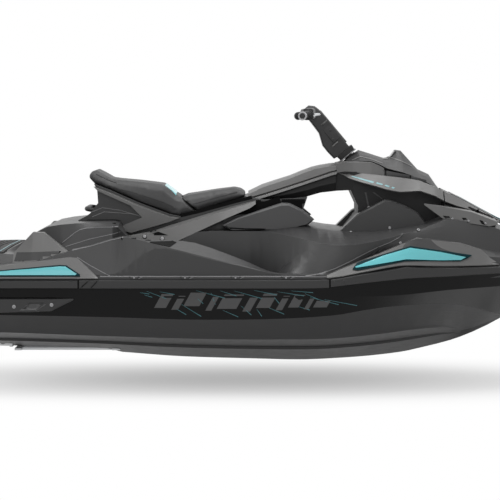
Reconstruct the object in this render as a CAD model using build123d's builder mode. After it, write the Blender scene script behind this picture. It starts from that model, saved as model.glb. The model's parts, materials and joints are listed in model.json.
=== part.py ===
"""Personal watercraft, built as separate pieces in one frame.

X points forward, Z up, and the origin is on the centreline at mid-length, at the waterline.
Sizes are in millimetres. An outline in a section across the craft is a list of (y, z) points,
and one in side view is a list of (x, z) points. Paired pieces are made on the port side (+Y)
and mirrored to starboard.
"""
from build123d import *
import os
from bisect import bisect_right
from math import cos, radians, sin

os.makedirs("parts", exist_ok=True)

# ---------------------------------------------------------------- driving dimensions
bow_reach = 1675            # mid-length to the tip of the bow bumper
stern_reach = 1675          # mid-length to the back of the stern bumper
half_beam = 608             # centreline to the outer face of the rub rail
rail_depth = 20             # how far the rub rail stands out from the hull side
rail_height = 44
flange_height = 13          # deck flange above the hull joint
bumper_depth = 22
hull_end = -stern_reach + bumper_depth + 2      # transom
stem_end = bow_reach - bumper_depth - 2         # forward end of hull and deck
forefoot = 1185             # where the upper chine runs into the stem

seat_half_width = 185
knee_reach = 285            # centreline to the face of a knee pad
pedestal_half_width = 180
tower_half_width = 175
gap = 5                     # running clearance between moving pieces
mat_thickness = 7

pump_axis_z = -70
pump_radius = 88
pump_wall = 8
impeller_clearance = 3
driveshaft_radius = 15
tunnel_half_width = 150
tunnel_front = -1095
tunnel_roof = 100
nozzle_pivot_x = -1400
bucket_pivot = (-1450, -45)
bucket_radius = 135

bar_radius = 11
grip_radius = 17
grip_length = 128
bar_reach = 385             # centreline to the end of a grip
hood_front = 1290           # hood hinge's place along the craft
hood_back = 884
hood_hinge_z = 352
hinge_pin_radius = 5
hinge_lug = (76, 88)         # a lug's faces, from the centreline
steering_base = (447, 716)  # where the column leaves the spine, in side view
steering_lean = 40          # column's lean aft from vertical, in degrees
column_bore = 20.5
stem_radius = 20

engine_size = (640, 380, 360)
engine_centre = (-250, 0, 70)


# ---------------------------------------------------------------- shared geometry
def fair(*points):
    """Smooth curve through (x, value) points that never overshoots them."""
    xs, values = zip(*points)
    runs = [(v1 - v0) / (x1 - x0) for (x0, v0), (x1, v1) in zip(points, points[1:])]
    inner = [0 if a * b <= 0 else 2 * a * b / (a + b) for a, b in zip(runs, runs[1:])]
    slopes = [runs[0], *inner, runs[-1]]

    def value(x):
        i = max(0, min(len(runs) - 1, bisect_right(xs, x) - 1))
        h = xs[i + 1] - xs[i]
        t = min(1, max(0, (x - xs[i]) / h))
        start = values[i] * (1 + 2 * t) + slopes[i] * h * t
        end = values[i + 1] * (3 - 2 * t) + slopes[i + 1] * h * (t - 1)
        return start * (1 - t) ** 2 + end * t ** 2

    return value


def straight(*points):
    """Straight runs through (x, value) points."""
    xs, values = zip(*points)

    def value(x):
        i = max(0, min(len(xs) - 2, bisect_right(xs, x) - 1))
        share = min(1, max(0, (x - xs[i]) / (xs[i + 1] - xs[i])))
        return values[i] + share * (values[i + 1] - values[i])

    return value


def across(x, z=0):
    """Section plane across the craft, with +Y and +Z as its own axes."""
    return Plane(origin=(x, 0, z), x_dir=(0, 1, 0), z_dir=(1, 0, 0))


def side(y):
    """Side-view plane with +X and +Z as its own axes."""
    return Plane(origin=(0, y, 0), x_dir=(1, 0, 0), z_dir=(0, -1, 0))


def whole(half):
    """Closed outline across the centreline, from its port half."""
    return half + [(-y, z) for y, z in reversed(half) if y > 0]


def lofted(sections):
    """Solid with straight faces between (plane, outline) sections."""
    with BuildPart() as solid:
        for plane, outline in sections:
            with BuildSketch(plane):
                with BuildLine():
                    Polyline(*outline, close=True)
                make_face()
        loft(ruled=True)
    return solid


def sectioned(stations):
    """Solid lofted through (x, outline) stations along the craft."""
    return lofted([(across(x), outline) for x, outline in stations])


def panel(outline, y_in, y_out, drawn_in=0):
    """Flat panel from its side-view outline, its outer edge drawn in towards the middle."""
    cx = sum(x for x, z in outline) / len(outline)
    cz = sum(z for x, z in outline) / len(outline)
    outer = []
    for x, z in outline:
        far = ((x - cx) ** 2 + (z - cz) ** 2) ** 0.5
        share = max(0.3, 1 - drawn_in / far)
        outer.append((cx + (x - cx) * share, cz + (z - cz) * share))
    return lofted([(side(y_in), outline), (side(y_out), outer)])


def turned(profile, z=pump_axis_z):
    """Ring or cone from its (x, radius) profile, turned about a fore-and-aft axis."""
    with BuildPart() as solid:
        with BuildSketch(side(0)):
            with BuildLine():
                Polyline(*[(x, z + r) for x, r in profile], close=True)
            make_face()
        revolve(axis=Axis((0, 0, z), (1, 0, 0)))
    return solid


def tube(points, radius, bend):
    """Round bar along straight runs joined by bends."""
    with BuildPart() as solid:
        with BuildLine() as path:
            FilletPolyline(*points, radius=bend)
        with BuildSketch(path.line ^ 0):
            Circle(radius)
        sweep()
    return solid


def crossbar(x, z, radius, y_low, y_high):
    """Round bar across the craft, between two distances from the centreline."""
    with BuildPart() as solid:
        with BuildSketch(side(y_low)):
            with Locations((x, z)):
                Circle(radius)
        extrude(amount=y_low - y_high)
    return solid


def block(x, y, z):
    """Box between (low, high) limits on each axis."""
    with BuildPart() as solid:
        with BuildSketch(Plane.XY.offset(z[0])):
            with Locations(((x[0] + x[1]) / 2, (y[0] + y[1]) / 2)):
                Rectangle(x[1] - x[0], y[1] - y[0])
        extrude(amount=z[1] - z[0])
    return solid


def joined(*pieces, less=()):
    """One solid from several, with others cut away."""
    with BuildPart() as solid:
        for piece in pieces:
            add(piece.part)
        for piece in less:
            add(piece.part, mode=Mode.SUBTRACT)
    return solid


def common(piece, other):
    """What two solids share."""
    with BuildPart() as solid:
        add(piece.part)
        add(other.part, mode=Mode.INTERSECT)
    return solid


def largest(piece):
    """The biggest solid of a piece, without the slivers that a cut leaves."""
    with BuildPart() as solid:
        add(piece.part.solids().sort_by(SortBy.VOLUME)[-1])
    return solid


def finish(piece, name):
    piece.part.label = name
    export_step(piece.part, f"parts/{name}.step")


def twinned(piece):
    """A piece and its mirror image, in one node."""
    with BuildPart() as both:
        add(piece.part)
        mirror(piece.part, about=Plane.XZ)
    return both


# ---------------------------------------------------------------- lines of the hull and deck
edge_share = fair(
    (-1640, 0.88), (-1560, 0.95), (-1440, 0.985), (-1300, 1), (300, 1), (500, 0.972), (700, 0.908),
    (900, 0.798), (1100, 0.645), (1300, 0.457), (1450, 0.304), (1560, 0.18), (1620, 0.1), (stem_end, 0.03))
sheer = fair(
    (-1640, 177), (220, 177), (350, 180), (500, 205), (680, 232), (880, 224), (1100, 222), (1640, 228))
keel = fair(
    (-1600, -185), (-1100, -199), (-700, -209), (-300, -236), (0, -245), (230, -250), (470, -239),
    (700, -215), (820, -189), (940, -158), (1050, -116), (1170, -55), (1330, 45), (1470, 130),
    (1580, 190), (1640, 212))
upper_chine_y = fair(
    (-1600, 550), (-1400, 568), (150, 568), (300, 560), (400, 548), (500, 525), (650, 470),
    (800, 380), (920, 290), (1030, 190), (1110, 110), (forefoot, 24), (1250, 12), (1640, 12))
upper_chine_z = fair(
    (-1600, 25), (-1100, 18), (-650, 9), (-200, -3), (0, -2), (220, 5), (400, 18), (500, 34),
    (650, 48), (800, 50), (920, 38), (1030, 14), (1110, -16), (forefoot, -38))
hard_chine_y = fair(
    (-1600, 490), (-1400, 500), (300, 500), (450, 455), (600, 395), (750, 300), (870, 190),
    (940, 95), (985, 28), (forefoot, 16))
hard_chine_z = fair(
    (-1600, -52), (-1100, -60), (-660, -76), (-220, -88), (0, -91), (290, -89), (450, -85),
    (600, -76), (750, -68), (870, -72), (940, -88), (985, -112), (1080, -84), (forefoot, -42))
knuckle_share = fair((-1600, 1), (400, 1), (700, 0.975), (900, 0.94), (1100, 0.87), (1300, 0.79),
                     (1640, 0.7))
knuckle_z = fair((-1600, 95), (600, 100), (900, 118), (1170, 124), (1400, 155), (1640, 222))


def edge_y(x):
    """Half-breadth of the joint between hull and deck."""
    return (half_beam - rail_depth) * edge_share(x)


stations = [hull_end, -1600, -1540, -1440, -1300, -1160, -1100, -1040, -1000, -960, -910, -850, -784, -722,
            -690, -614, -590, -565, -540, -500, -460, -414, -370, -300, -244, -175, -110, -50, 0, 45,
            90, 130,
            160, 190, 222, 260, 310, 355, 400, 466, 500, 560, 600, 650, 700, 740, 800, 880, 940, 985,
            1040, 1110, forefoot, 1280, 1350, 1430, 1500, 1570, 1620, stem_end]
tub_end = 1570
deck_stations = [x for x in stations if x <= tub_end]
nose_stations = [x for x in stations if x >= tub_end]
hull_stations = [x for x in stations if x <= forefoot]

crest_y = fair(
    (-1640, 490), (-1560, 530), (-1440, 552), (-1100, 560), (-950, 552), (-800, 540), (-700, 533),
    (-614, 528), (-540, 545), (-450, 563), (-370, 576), (90, 577), (160, 576), (280, 572), (400, 556),
    (480, 535), (660, 500), (740, 478), (940, 398), (1040, 350), (1200, 255), (1400, 140), (1560, 55),
    (1620, 30), (stem_end, 14))
crest_z = fair(
    (-1640, 205), (-1440, 222), (-1100, 236), (-950, 250), (-850, 278), (-784, 297), (-700, 320),
    (-614, 345), (-552, 357), (-460, 340), (-370, 318), (-285, 297), (-219, 280), (-110, 253), (0, 227),
    (66, 209), (110, 200), (160, 198), (280, 197), (400, 215), (480, 250), (660, 318), (740, 348),
    (940, 320), (1040, 292), (1200, 262), (1400, 250), (1560, 246), (1640, 244))
crest_width = fair(
    (-1640, 30), (-1100, 90), (-800, 60), (-680, 45), (-600, 30), (-450, 45), (-370, 82), (-244, 112),
    (-110, 92), (0, 60), (90, 38), (160, 34), (740, 26), (1200, 25), (1400, 20), (1560, 10), (stem_end, 3))
crest_rise = fair(                  # how far the gunwale's top climbs inwards
    (-1640, 0), (-614, 3), (-450, 8), (-370, 24), (-244, 42), (-110, 31), (0, 16), (90, 3), (160, 1),
    (1640, 0))
upright = fair((-1640, 0.04), (-614, 0.05), (-370, 0.93), (90, 0.93), (280, 0.5), (1640, 0.5))
floor_z = fair(
    (-1640, 255), (-1100, 278), (-1040, 276), (-960, 262), (-850, 272), (-700, 300), (-620, 312),
    (-570, 110), (-540, 70), (-400, 62), (-20, 62), (160, 110), (300, 170))
floor_out = fair(
    (-1640, 420), (-1100, 440), (-920, 450), (-800, 465), (-620, 470), (-570, 440), (-450, 440),
    (-220, 448), (0, 492), (90, 508), (160, 512), (260, 520))
floor_in = fair(
    (-1640, 300), (-1100, 300), (-950, 350), (-850, 410), (-620, 408), (-570, 310), (-540, 300),
    (-100, 300), (0, 318), (90, 370), (160, 425), (300, 500))
filled = fair((-1640, 0), (-10, 0), (300, 1), (1640, 1))        # 0 beside the footwell, 1 ahead of it
flank_y = fair(
    (-1640, 200), (-1100, 280), (-950, 320), (-850, 392), (-600, 388), (-565, 290), (-540, 276),
    (-100, 278),
    (0, 290), (90, 330), (150, 375), (220, 435), (310, 488), (400, 512), (520, 515), (600, 495),
    (700, 448), (760, 420), (880, 345), (980, 300), (1080, 268), (1200, 212),
    (1350, 140), (1500, 70), (1600, 20), (stem_end, 8))
flank_z = fair(
    (-1640, 256), (-1100, 281), (-1000, 284), (-850, 316), (-780, 357), (-722, 388), (-690, 396),
    (-600, 397), (-572, 362), (-550, 343), (-440, 320), (-370, 301), (-300, 333), (-220, 370), (45, 369),
    (110, 363), (150, 358), (222, 347), (310, 327), (400, 319), (466, 324), (532, 334), (599, 347),
    (700, 372), (760, 384), (880, 424), (980, 412),
    (1080, 392), (1200, 350), (1350, 300), (1500, 268), (1640, 248))
top_y = fair(
    (-1640, 150), (-1100, 250), (-1000, 292), (-910, 345), (-780, 370), (-690, 364), (-600, 300),
    (-550, 216), (-100, 216), (60, 232), (160, 245), (230, 262), (290, 268), (520, 272),
    (640, 268), (760, 260), (880, 238), (1000, 205), (1100, 170), (1200, 135), (1350, 85), (1500, 40),
    (1600, 10), (stem_end, 4))
top_z = fair(
    (-1640, 257), (-1100, 283), (-1040, 312), (-1000, 340), (-960, 368), (-910, 392), (-780, 409),
    (-600, 412), (-572, 372), (-550, 338), (-440, 318), (-370, 296), (-300, 330), (-220, 366),
    (45, 374), (90, 384), (200, 395), (263, 394), (317, 379),
    (411, 368), (520, 365), (588, 370), (633, 375), (701, 384), (760, 394), (800, 402), (880, 436),
    (1000, 430), (1100, 408), (1200, 362), (1350, 308), (1500, 273), (1640, 250))
crown = fair((-1640, 1), (230, 2), (400, 3), (520, 4), (880, 5), (1640, 2))
tub_share = 0.93            # half-breadth of the deck's tub as a share of the hull's
tub_z = fair(
    (-1640, 150), (-1000, 150), (-920, 140), (-800, 105), (-680, 65), (-560, 42), (200, 42),
    (290, 60), (420, 150), (1400, 172), (1560, 208))
joint_crown = 2             # camber of the joint between hull bottom and topsides


def bottom_section(x):
    """Keel, lifting strake, hard chine and upper chine."""
    slim = hard_chine_y(x) / 500
    rise = (hard_chine_z(x) - keel(x)) / hard_chine_y(x)
    strake_y = 0.58 * hard_chine_y(x)
    strake_z = keel(x) + rise * strake_y
    lip = 24 * slim
    return whole([
        (0, keel(x)), (strake_y - lip, strake_z - rise * lip), (strake_y, strake_z - rise * lip - 3 * slim),
        (strake_y + 2 * slim, strake_z + slim), (hard_chine_y(x) - lip, hard_chine_z(x) - rise * lip),
        (hard_chine_y(x), hard_chine_z(x) - rise * lip),
        (hard_chine_y(x) + 4 * slim, hard_chine_z(x) + 8 * slim),
        (upper_chine_y(x), upper_chine_z(x)), (0, upper_chine_z(x) + joint_crown)])


def topside_section(x):
    """Upper chine or stem, knuckle and deck joint."""
    if x > forefoot:
        low = [(0, keel(x)), (upper_chine_y(x), keel(x) + 8)]
    else:
        low = [(0, upper_chine_z(x) + joint_crown), (upper_chine_y(x), upper_chine_z(x))]
    knuckle_y = max(upper_chine_y(x) + 2, edge_y(x) * knuckle_share(x))
    knuckle = max(low[1][1] + 2, min(knuckle_z(x), sheer(x) - 3))
    return whole([*low, (knuckle_y, knuckle), (edge_y(x), sheer(x)), (0, sheer(x))])


def between(a, b, share):
    """Point at a share of the way from one point to another."""
    return tuple(p + share * (q - p) for p, q in zip(a, b))


def deck_section(x):
    """Tub, flange, gunwale with its sloping top, footwell or flank, and pedestal top."""
    tub_y = edge_y(x) * tub_share
    ledge = (edge_y(x) - 8, sheer(x) + flange_height + 1)
    crest = (crest_y(x), crest_z(x))
    bend = (ledge[0] + upright(x) * 0.3 * (crest[0] - ledge[0]) + 1,
            ledge[1] + upright(x) * (crest[1] - ledge[1]))
    crest_in = (crest[0] - crest_width(x), crest[1] + crest_rise(x))
    flank = (flank_y(x), flank_z(x))
    bulge = 0.05 * (crest_in[0] - flank[0])
    wall = [(y + bulge, z + bulge) for y, z in (between(crest_in, flank, 0.35),
                                                between(crest_in, flank, 0.7))]
    well = [(floor_out(x), floor_z(x)), (floor_in(x), floor_z(x))]
    floor = [between(a, b, filled(x)) for a, b in zip(well, wall)]
    return whole([
        (0, tub_z(x)), (tub_y, tub_z(x)), (tub_y, sheer(x)), (edge_y(x) + 6, sheer(x)),
        (edge_y(x) + 6, sheer(x) + flange_height), ledge, bend, crest, crest_in, *floor, flank,
        (top_y(x), top_z(x)), (0, top_z(x) + crown(x))])


def nose_section(x):
    """The deck's tip, solid down to the joint."""
    return whole([
        (0, sheer(x)), (edge_y(x) + 6, sheer(x)), (edge_y(x) + 6, sheer(x) + flange_height),
        (crest_y(x), crest_z(x)), (flank_y(x), flank_z(x)), (0, top_z(x) + crown(x))])


def tub_section(x):
    tub_y = edge_y(x) * tub_share
    return whole([(0, tub_z(x)), (tub_y, tub_z(x)), (tub_y, sheer(x) + 60), (0, sheer(x) + 60)])


# ---------------------------------------------------------------- hull
tunnel = block((-1750, tunnel_front), (-tunnel_half_width, tunnel_half_width), (-400, tunnel_roof))
intake = panel([(tunnel_front - 1, 10), (-600, -214), (-600, -330), (tunnel_front - 1, -330)], 92, -92)
shaft_tube = turned([(-1100, 0), (-1100, 20), (-700, 20), (-700, 0)])
engine_half = [size / 2 for size in engine_size]
engine_limits = [(c - h, c + h) for c, h in zip(engine_centre, engine_half)]
engine_block = block(*engine_limits)

hull_bottom = joined(
    sectioned([(x, bottom_section(x)) for x in hull_stations]),
    less=(tunnel, intake, shaft_tube, engine_block))
finish(hull_bottom, "hull_bottom")

tub = sectioned([(x, tub_section(x)) for x in deck_stations])
hull_topsides = joined(
    sectioned([(x, topside_section(x)) for x in stations]),
    less=(tub, tunnel, engine_block, intake))
finish(hull_topsides, "hull_topsides")

# ---------------------------------------------------------------- storage bin under the hood
bin_x = (905, 1165)
bin_half_width = 135
bin_floor = 255
bin_wall = 5
bin_well = sectioned([
    (bin_x[0], whole([(0, bin_floor), (bin_half_width, bin_floor), (bin_half_width + 20, 560), (0, 560)])),
    (bin_x[1], whole([(0, bin_floor), (bin_half_width - 50, bin_floor), (bin_half_width - 30, 560),
                      (0, 560)]))])

hinge_bore = crossbar(hood_front, hood_hinge_z, hinge_pin_radius + 0.4, -hinge_lug[1] - 1, hinge_lug[1] + 1)
hinge_lugs = []
for turn in (1, -1):
    near, far = sorted(turn * y for y in hinge_lug)
    hinge_lugs += [
        crossbar(hood_front, hood_hinge_z, 2 * hinge_pin_radius, near, far),
        block((hood_front - 2 * hinge_pin_radius, hood_front + 2 * hinge_pin_radius), (near, far),
              (300, hood_hinge_z))]
hinge_lugs = joined(*hinge_lugs, less=(hinge_bore,))
deck = joined(
    sectioned([(x, deck_section(x)) for x in deck_stations]),
    sectioned([(x, nose_section(x)) for x in nose_stations]),
    hinge_lugs, less=(engine_block, bin_well))
finish(deck, "deck")
finish(engine_block, "engine_block")


def bin_outline(x, wall):
    """Bin section, drawn in by a wall."""
    half = bin_half_width - 50 * (x - bin_x[0]) / (bin_x[1] - bin_x[0]) - wall
    rim = top_z(x)
    lean = 20 * (rim - bin_floor) / (560 - bin_floor)
    top = rim if wall == 0 else rim + 50
    return whole([(0, bin_floor + wall), (half, bin_floor + wall), (half + lean, top), (0, top)])


storage_bin = joined(
    sectioned([(x, bin_outline(x, 0)) for x in bin_x]),
    less=(sectioned([(x, bin_outline(x, bin_wall)) for x in (bin_x[0] + bin_wall, bin_x[1] - bin_wall)]),))
finish(storage_bin, "storage_bin")


# ---------------------------------------------------------------- rub rails and bumpers
def rail_outline(x, low, high, depth):
    """Rail section against the hull side."""
    inner = edge_y(x)
    return [(inner, low), (inner + depth, low + 5), (inner + depth, high - 5), (inner + 4, high),
            (inner, high)]


rail_low = fair((-1640, 133), (220, 133), (350, 138), (500, 155), (660, 171), (880, 177), (1100, 184),
                (1640, 196))
mid_rail_stations = [-745, -600, -300, 0, 220, 300, 345]
rub_rail = sectioned([
    (x, rail_outline(x, sheer(x) - rail_height, sheer(x), rail_depth)) for x in mid_rail_stations])
rub_rail = joined(rub_rail, less=(deck, hull_topsides))
finish(twinned(rub_rail), "rub_rails")


def wrap(stations, reach, low, high, depth):
    """Bumper round one end of the craft, square to its plan outline, port to starboard."""
    port = [(x, edge_y(x)) for x in stations] + [(reach[0], reach[1])]
    points = port + [(x, -y) for x, y in reversed(port)]
    sections = []
    for i, (x, y) in enumerate(points):
        ahead = Vector(*points[min(i + 1, len(points) - 1)], 0)
        behind = Vector(*points[max(i - 1, 0)], 0)
        along = (ahead - behind).normalized()
        if abs(y) >= abs(points[0][1]) * 0.995 and i in (0, len(points) - 1):
            along = Vector(-1 if reach[0] < 0 else 1, 0, 0) * (1 if i == 0 else -1)
        out = along.cross(Vector(0, 0, 1)) * (1 if reach[0] < 0 else -1)
        plane = Plane(origin=(x, y, 0), x_dir=out, z_dir=out.cross(Vector(0, 0, 1)))
        z0, z1 = low(x), high(x)
        sections.append((plane, [(-2, z0), (depth, z0 + 6), (depth, z1 - 8), (6, z1), (-2, z1)]))
    return lofted(sections)


bow_bumper = joined(
    wrap([352, 500, 680, 880, 1100, 1300, 1450, 1560, 1620], (stem_end, 12), rail_low, sheer, bumper_depth),
    less=(hull_topsides, deck, tub))
bow_bumper = largest(bow_bumper)
finish(bow_bumper, "bow_bumper")
stern_bumper = joined(
    wrap([-752, -900, -1100, -1300, -1440, -1560, -1625], (hull_end, 480), rail_low, sheer, bumper_depth),
    less=(hull_topsides, deck, tub))
finish(stern_bumper, "stern_bumper")

# ---------------------------------------------------------------- shoulder frames and their inserts
bow_shoulder_stations = (335, 400, 484, 540, 600, 660, 700, 740, 776, 860, 940, 990, 1035, 1075, 1115)
bow_shoulder_top = straight(
    (330, 192), (484, 252), (660, 320), (740, 351), (776, 344), (940, 322), (1035, 292), (1120, 214))
bow_shoulder_in = fair((330, 6), (484, 34), (660, 52), (745, 60), (940, 46), (1035, 34), (1120, 16))


def bow_shoulder_section(x):
    """Light frame on the bow's edge, from the deck joint to the crest and over it."""
    out = edge_y(x) + 12
    low = sheer(x) + 1
    high = max(bow_shoulder_top(x), low + 6)
    lean = bow_shoulder_in(x)
    return [(out - 22, low), (out, low), (out + 2, low + 4), (out - lean, high),
            (out - lean - 40, high + 1)]


bow_shoulder = joined(
    sectioned([(x, bow_shoulder_section(x)) for x in bow_shoulder_stations]),
    less=(deck, hull_topsides, bow_bumper))
finish(twinned(bow_shoulder), "bow_shoulders")

stern_shoulder_stations = (-1620, -1560, -1440, -1260, -1100, -964, -870, -790, -755, -710, -665)
stern_shoulder_top = straight((-1625, 206), (-1440, 222), (-1095, 234), (-964, 249), (-790, 271),
                              (-755, 267), (-660, 180))


def stern_shoulder_section(x):
    out = edge_y(x) + 12
    low = sheer(x) + 1
    high = max(stern_shoulder_top(x), low + 6)
    lean = 0.45 * (high - low)
    return [(out - 22, low), (out, low), (out + 2, low + 4), (out - lean, high),
            (out - lean - 30, high + 1)]


stern_shoulder = joined(
    sectioned([(x, stern_shoulder_section(x)) for x in stern_shoulder_stations]),
    less=(deck, hull_topsides, stern_bumper))
finish(twinned(stern_shoulder), "stern_shoulders")


insert_proud = 3            # how far an insert's edge stands out of its frame
insert_swell = 5            # how much further its ridge stands out


def swollen(section, ridge):
    """A shoulder's section grown outwards, with a ridge at a height on its face."""
    (y_low, z_low), (y_high, z_high) = section[2:4]
    ridge = min(z_high - 2, max(z_low + 2, ridge))
    y_ridge = y_low + (y_high - y_low) * (ridge - z_low) / (z_high - z_low)
    return [(y_low - 30, z_low), (y_low + insert_proud, z_low),
            (y_ridge + insert_proud + insert_swell, ridge),
            (y_high + insert_proud, z_high), (y_high - 30, z_high)]


def insert_piece(outline, section, ridge, xs, less):
    """Two-facet insert of a crisp side-view outline on the face of a shoulder."""
    grown = sectioned([(x, swollen(section(x), ridge(x))) for x in xs])
    return joined(common(grown, panel(outline, 200, 640)), less=less)


bow_insert_outline = [(448, 221), (470, 216), (681, 253), (768, 253), (931, 247), (966, 258),
                      (988, 271), (834, 297),
                      (707, 317), (588, 284), (470, 249)]
bow_insert_ridge = straight((440, 226), (588, 270), (707, 300), (834, 283), (990, 266))
bow_insert = insert_piece(bow_insert_outline, bow_shoulder_section, bow_insert_ridge,
                          bow_shoulder_stations[1:-2],
                          (bow_shoulder, deck))
finish(twinned(bow_insert), "bow_inserts")

stern_insert_outline = [(-1500, 190), (-742, 190), (-742, 199), (-803, 237), (-829, 239), (-1092, 216),
                        (-1500, 203)]
stern_insert_ridge = straight((-1500, 198), (-1092, 208), (-829, 227), (-803, 225), (-742, 196))
stern_insert = insert_piece(stern_insert_outline, stern_shoulder_section, stern_insert_ridge,
                            stern_shoulder_stations[1:-1], (stern_shoulder, deck))
finish(twinned(stern_insert), "stern_inserts")

# ---------------------------------------------------------------- rear pods, platform mat and footwell mats
rear_pod = joined(
    sectioned([
        (-1045, [(400, 240), (520, 240), (505, 262), (470, 285), (420, 285)]),
        (-960, [(395, 240), (535, 240), (505, 290), (470, 376), (430, 376)]),
        (-912, [(395, 240), (532, 240), (505, 295), (472, 374), (428, 374)]),
        (-796, [(440, 250), (520, 250), (505, 270), (490, 285), (455, 285)])]),
    less=(deck, stern_shoulder))
finish(twinned(rear_pod), "rear_pods")


def mat_section(x):
    z = floor_z(x)
    return [(floor_in(x) + 14, z), (floor_out(x) - 12, z), (floor_out(x) - 16, z + mat_thickness),
            (floor_in(x) + 18, z + mat_thickness)]


mat_stations = [x for x in deck_stations if -550 < x < 0]
footwell_mat = joined(sectioned([(x, mat_section(x)) for x in mat_stations]), less=(deck,))
finish(twinned(footwell_mat), "footwell_mats")


def platform_section(x):
    z = top_z(x)
    return whole([(0, z - 4), (430, floor_z(x) - 4), (424, floor_z(x) + mat_thickness),
                  (0, z + mat_thickness)])


platform_mat = joined(sectioned([(x, platform_section(x)) for x in deck_stations if -1620 < x < -1090]),
                      less=(deck,))
finish(platform_mat, "platform_mat")

# ---------------------------------------------------------------- pedestal, side frames and seat
seat_line = [(-712, 579), (-639, 551), (-503, 492), (-366, 441), (-320, 432), (-274, 441), (-14, 519)]
beam_line = [(60, 506), (200, 512), (262, 519)]
pedestal = joined(
    panel([(-790, 395), (-785, 412), (-735, 440), (-694, 492), (-698, 548), *seat_line,
           *beam_line, (245, 468), (255, 430), (225, 372), (160, 300), (-560, 300), (-620, 395)],
          pedestal_half_width, -pedestal_half_width),
    less=(deck, engine_block))
finish(pedestal, "pedestal")

handle_radius = 11
handle_y = 118
grab_handle = tube([(-690, -handle_y, 452), (-752, -handle_y, 462), (-752, handle_y, 462),
                    (-690, handle_y, 452)],
                   handle_radius, 28)
grab_handle = joined(grab_handle, less=(pedestal,))
finish(grab_handle, "grab_handle")

seat_width = fair((-744, 140), (-728, 152), (-640, 175), (-500, seat_half_width), (-330, 178),
                  (-150, 145), (-14, 104))
seat_top = fair((-744, 630), (-728, 646), (-675, 623), (-638, 602), (-606, 597), (-400, 574),
                (-338, 528), (-320, 523),
                (-274, 528), (-150, 548), (-70, 558), (-14, 546))


def seat_bottom(x):
    """Height of the seat's flat underside on the pedestal."""
    line = [(-744, 606), *seat_line]
    for (x0, z0), (x1, z1) in zip(line, line[1:]):
        if x <= x1:
            return z0 + (z1 - z0) * (x - x0) / (x1 - x0)
    return line[-1][1]


def seat_section(x):
    w, low, high = seat_width(x), seat_bottom(x), seat_top(x)
    tall = high - low
    return whole([(0, low), (w - 6, low), (w, low + 0.35 * tall), (w - 14, low + 0.75 * tall),
                  (w - 45, high - 3), (0, high)])


seat_stations = (-744, -728, -712, -675, -639, -606, -503, -400, -366, -338, -320, -303, -274, -240,
                 -150, -70, -14)
seat_form = sectioned([(x, seat_section(x)) for x in seat_stations])
seat_reach = 260
seat_joint = [(-344, 640), (-338, 528), (-248, 456),
              (-236, 400)]      # where the two seats meet, in side view
seat_gap = 1
rear_part = panel([(-900, 300), (-236, 300), *reversed(seat_joint), (-900, 640)], seat_reach, -seat_reach)
front_part = panel([(x + seat_gap, z) for x, z in seat_joint] + [(60, 300), (60, 640)], seat_reach,
                   -seat_reach)
finish(common(seat_form, rear_part), "seat_rear")
finish(common(seat_form, front_part), "seat_front")

side_frame = sectioned([
    (-556, [(238, 341), (262, 338), (262, 345), (240, 346)]),
    (-444, [(228, 317), (264, 316), (256, 360), (225, 366)]),
    (-372, [(226, 303), (266, 302), (252, 378), (218, 390)]),
    (-227, [(212, 372), (262, 370), (246, 424), (200, 434)]),
    (-100, [(196, 430), (248, 428), (228, 462), (182, 472)]),
    (0, [(178, 472), (222, 470), (206, 494), (166, 501)]),
    (26, [(166, 490), (208, 488), (200, 500), (164, 507)])])
side_frame = joined(side_frame, less=(deck, pedestal))

tail_frame = panel([(-714, 568), (-639, 540), (-503, 482), (-366, 431), (-319, 423), (-372, 402),
                    (-540, 352),
                    (-582, 362), (-584, 386), (-488, 424), (-547, 486), (-697, 550)],
                   pedestal_half_width, pedestal_half_width + 32, 5)
tail_frame = joined(tail_frame, less=(side_frame, deck))
finish(twinned(side_frame), "side_frames")
finish(twinned(tail_frame), "tail_frames")

knee_outline = [(-125, 394), (-59, 426), (145, 494), (182, 492), (241, 462), (291, 421), (264, 398),
                (227, 389), (168, 354), (91, 369), (-91, 372)]
knee_pad = joined(
    panel(knee_outline, pedestal_half_width, 266), panel(knee_outline, 266, knee_reach, 9))
knee_pad = joined(knee_pad, less=(deck, pedestal, side_frame))
finish(twinned(knee_pad), "knee_pads")

# ---------------------------------------------------------------- spine and front tower
spine_top = fair((-10, 540), (56, 572), (186, 614), (289, 654), (372, 670), (430, 674))
spine_side = fair((-10, 508), (23, 517), (184, 567), (322, 613), (395, 636), (430, 640))
beam_low = fair((20, 490), (60, 504), (200, 510), (262, 518), (323, 536), (461, 550))


def cover_section(x):
    """Crowned cover with a lip along its lower edge."""
    low, high = spine_side(x), spine_top(x)
    return whole([(0, low - 16), (112, low - 16), (130, low - 15), (124, low - 3), (115, low - 1),
                  (122, low + 5),
                  (116, high - 12), (62, high - 2), (0, high)])


spine_cover = sectioned([(x, cover_section(x)) for x in (-8, 56, 120, 186, 240, 289, 330, 372, 398)])
spine_cover = joined(spine_cover, less=(pedestal, side_frame))


def beam_section(x):
    low, high = beam_low(x), spine_side(x) - 14
    return whole([(0, low), (104, low), (118, low + 0.5 * (high - low)), (112, high), (0, high)])


spine_beam = sectioned([(x, beam_section(x)) for x in (30, 60, 120, 200, 262, 323, 395)])
spine_beam = joined(spine_beam, less=(spine_cover, knee_pad, side_frame, pedestal))

column_up = Vector(-sin(radians(steering_lean)), 0, cos(radians(steering_lean)))
column_foot = Vector(steering_base[0], 0, steering_base[1])


def on_column(height):
    """Plane square to the steering column, at a height above its foot."""
    return Plane(origin=column_foot + column_up * height, x_dir=(0, 1, 0), z_dir=column_up)


with BuildPart() as steering_sleeve:
    with BuildSketch(on_column(-95)):
        Circle(32)
        Circle(column_bore, mode=Mode.SUBTRACT)
    extrude(amount=76)
with BuildPart() as sleeve_room:
    with BuildSketch(on_column(-95)):
        Circle(32)
    extrude(amount=140)

with BuildPart() as neck_room:
    with BuildSketch(on_column(-19)):
        Circle(63)
    extrude(amount=110)

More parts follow.
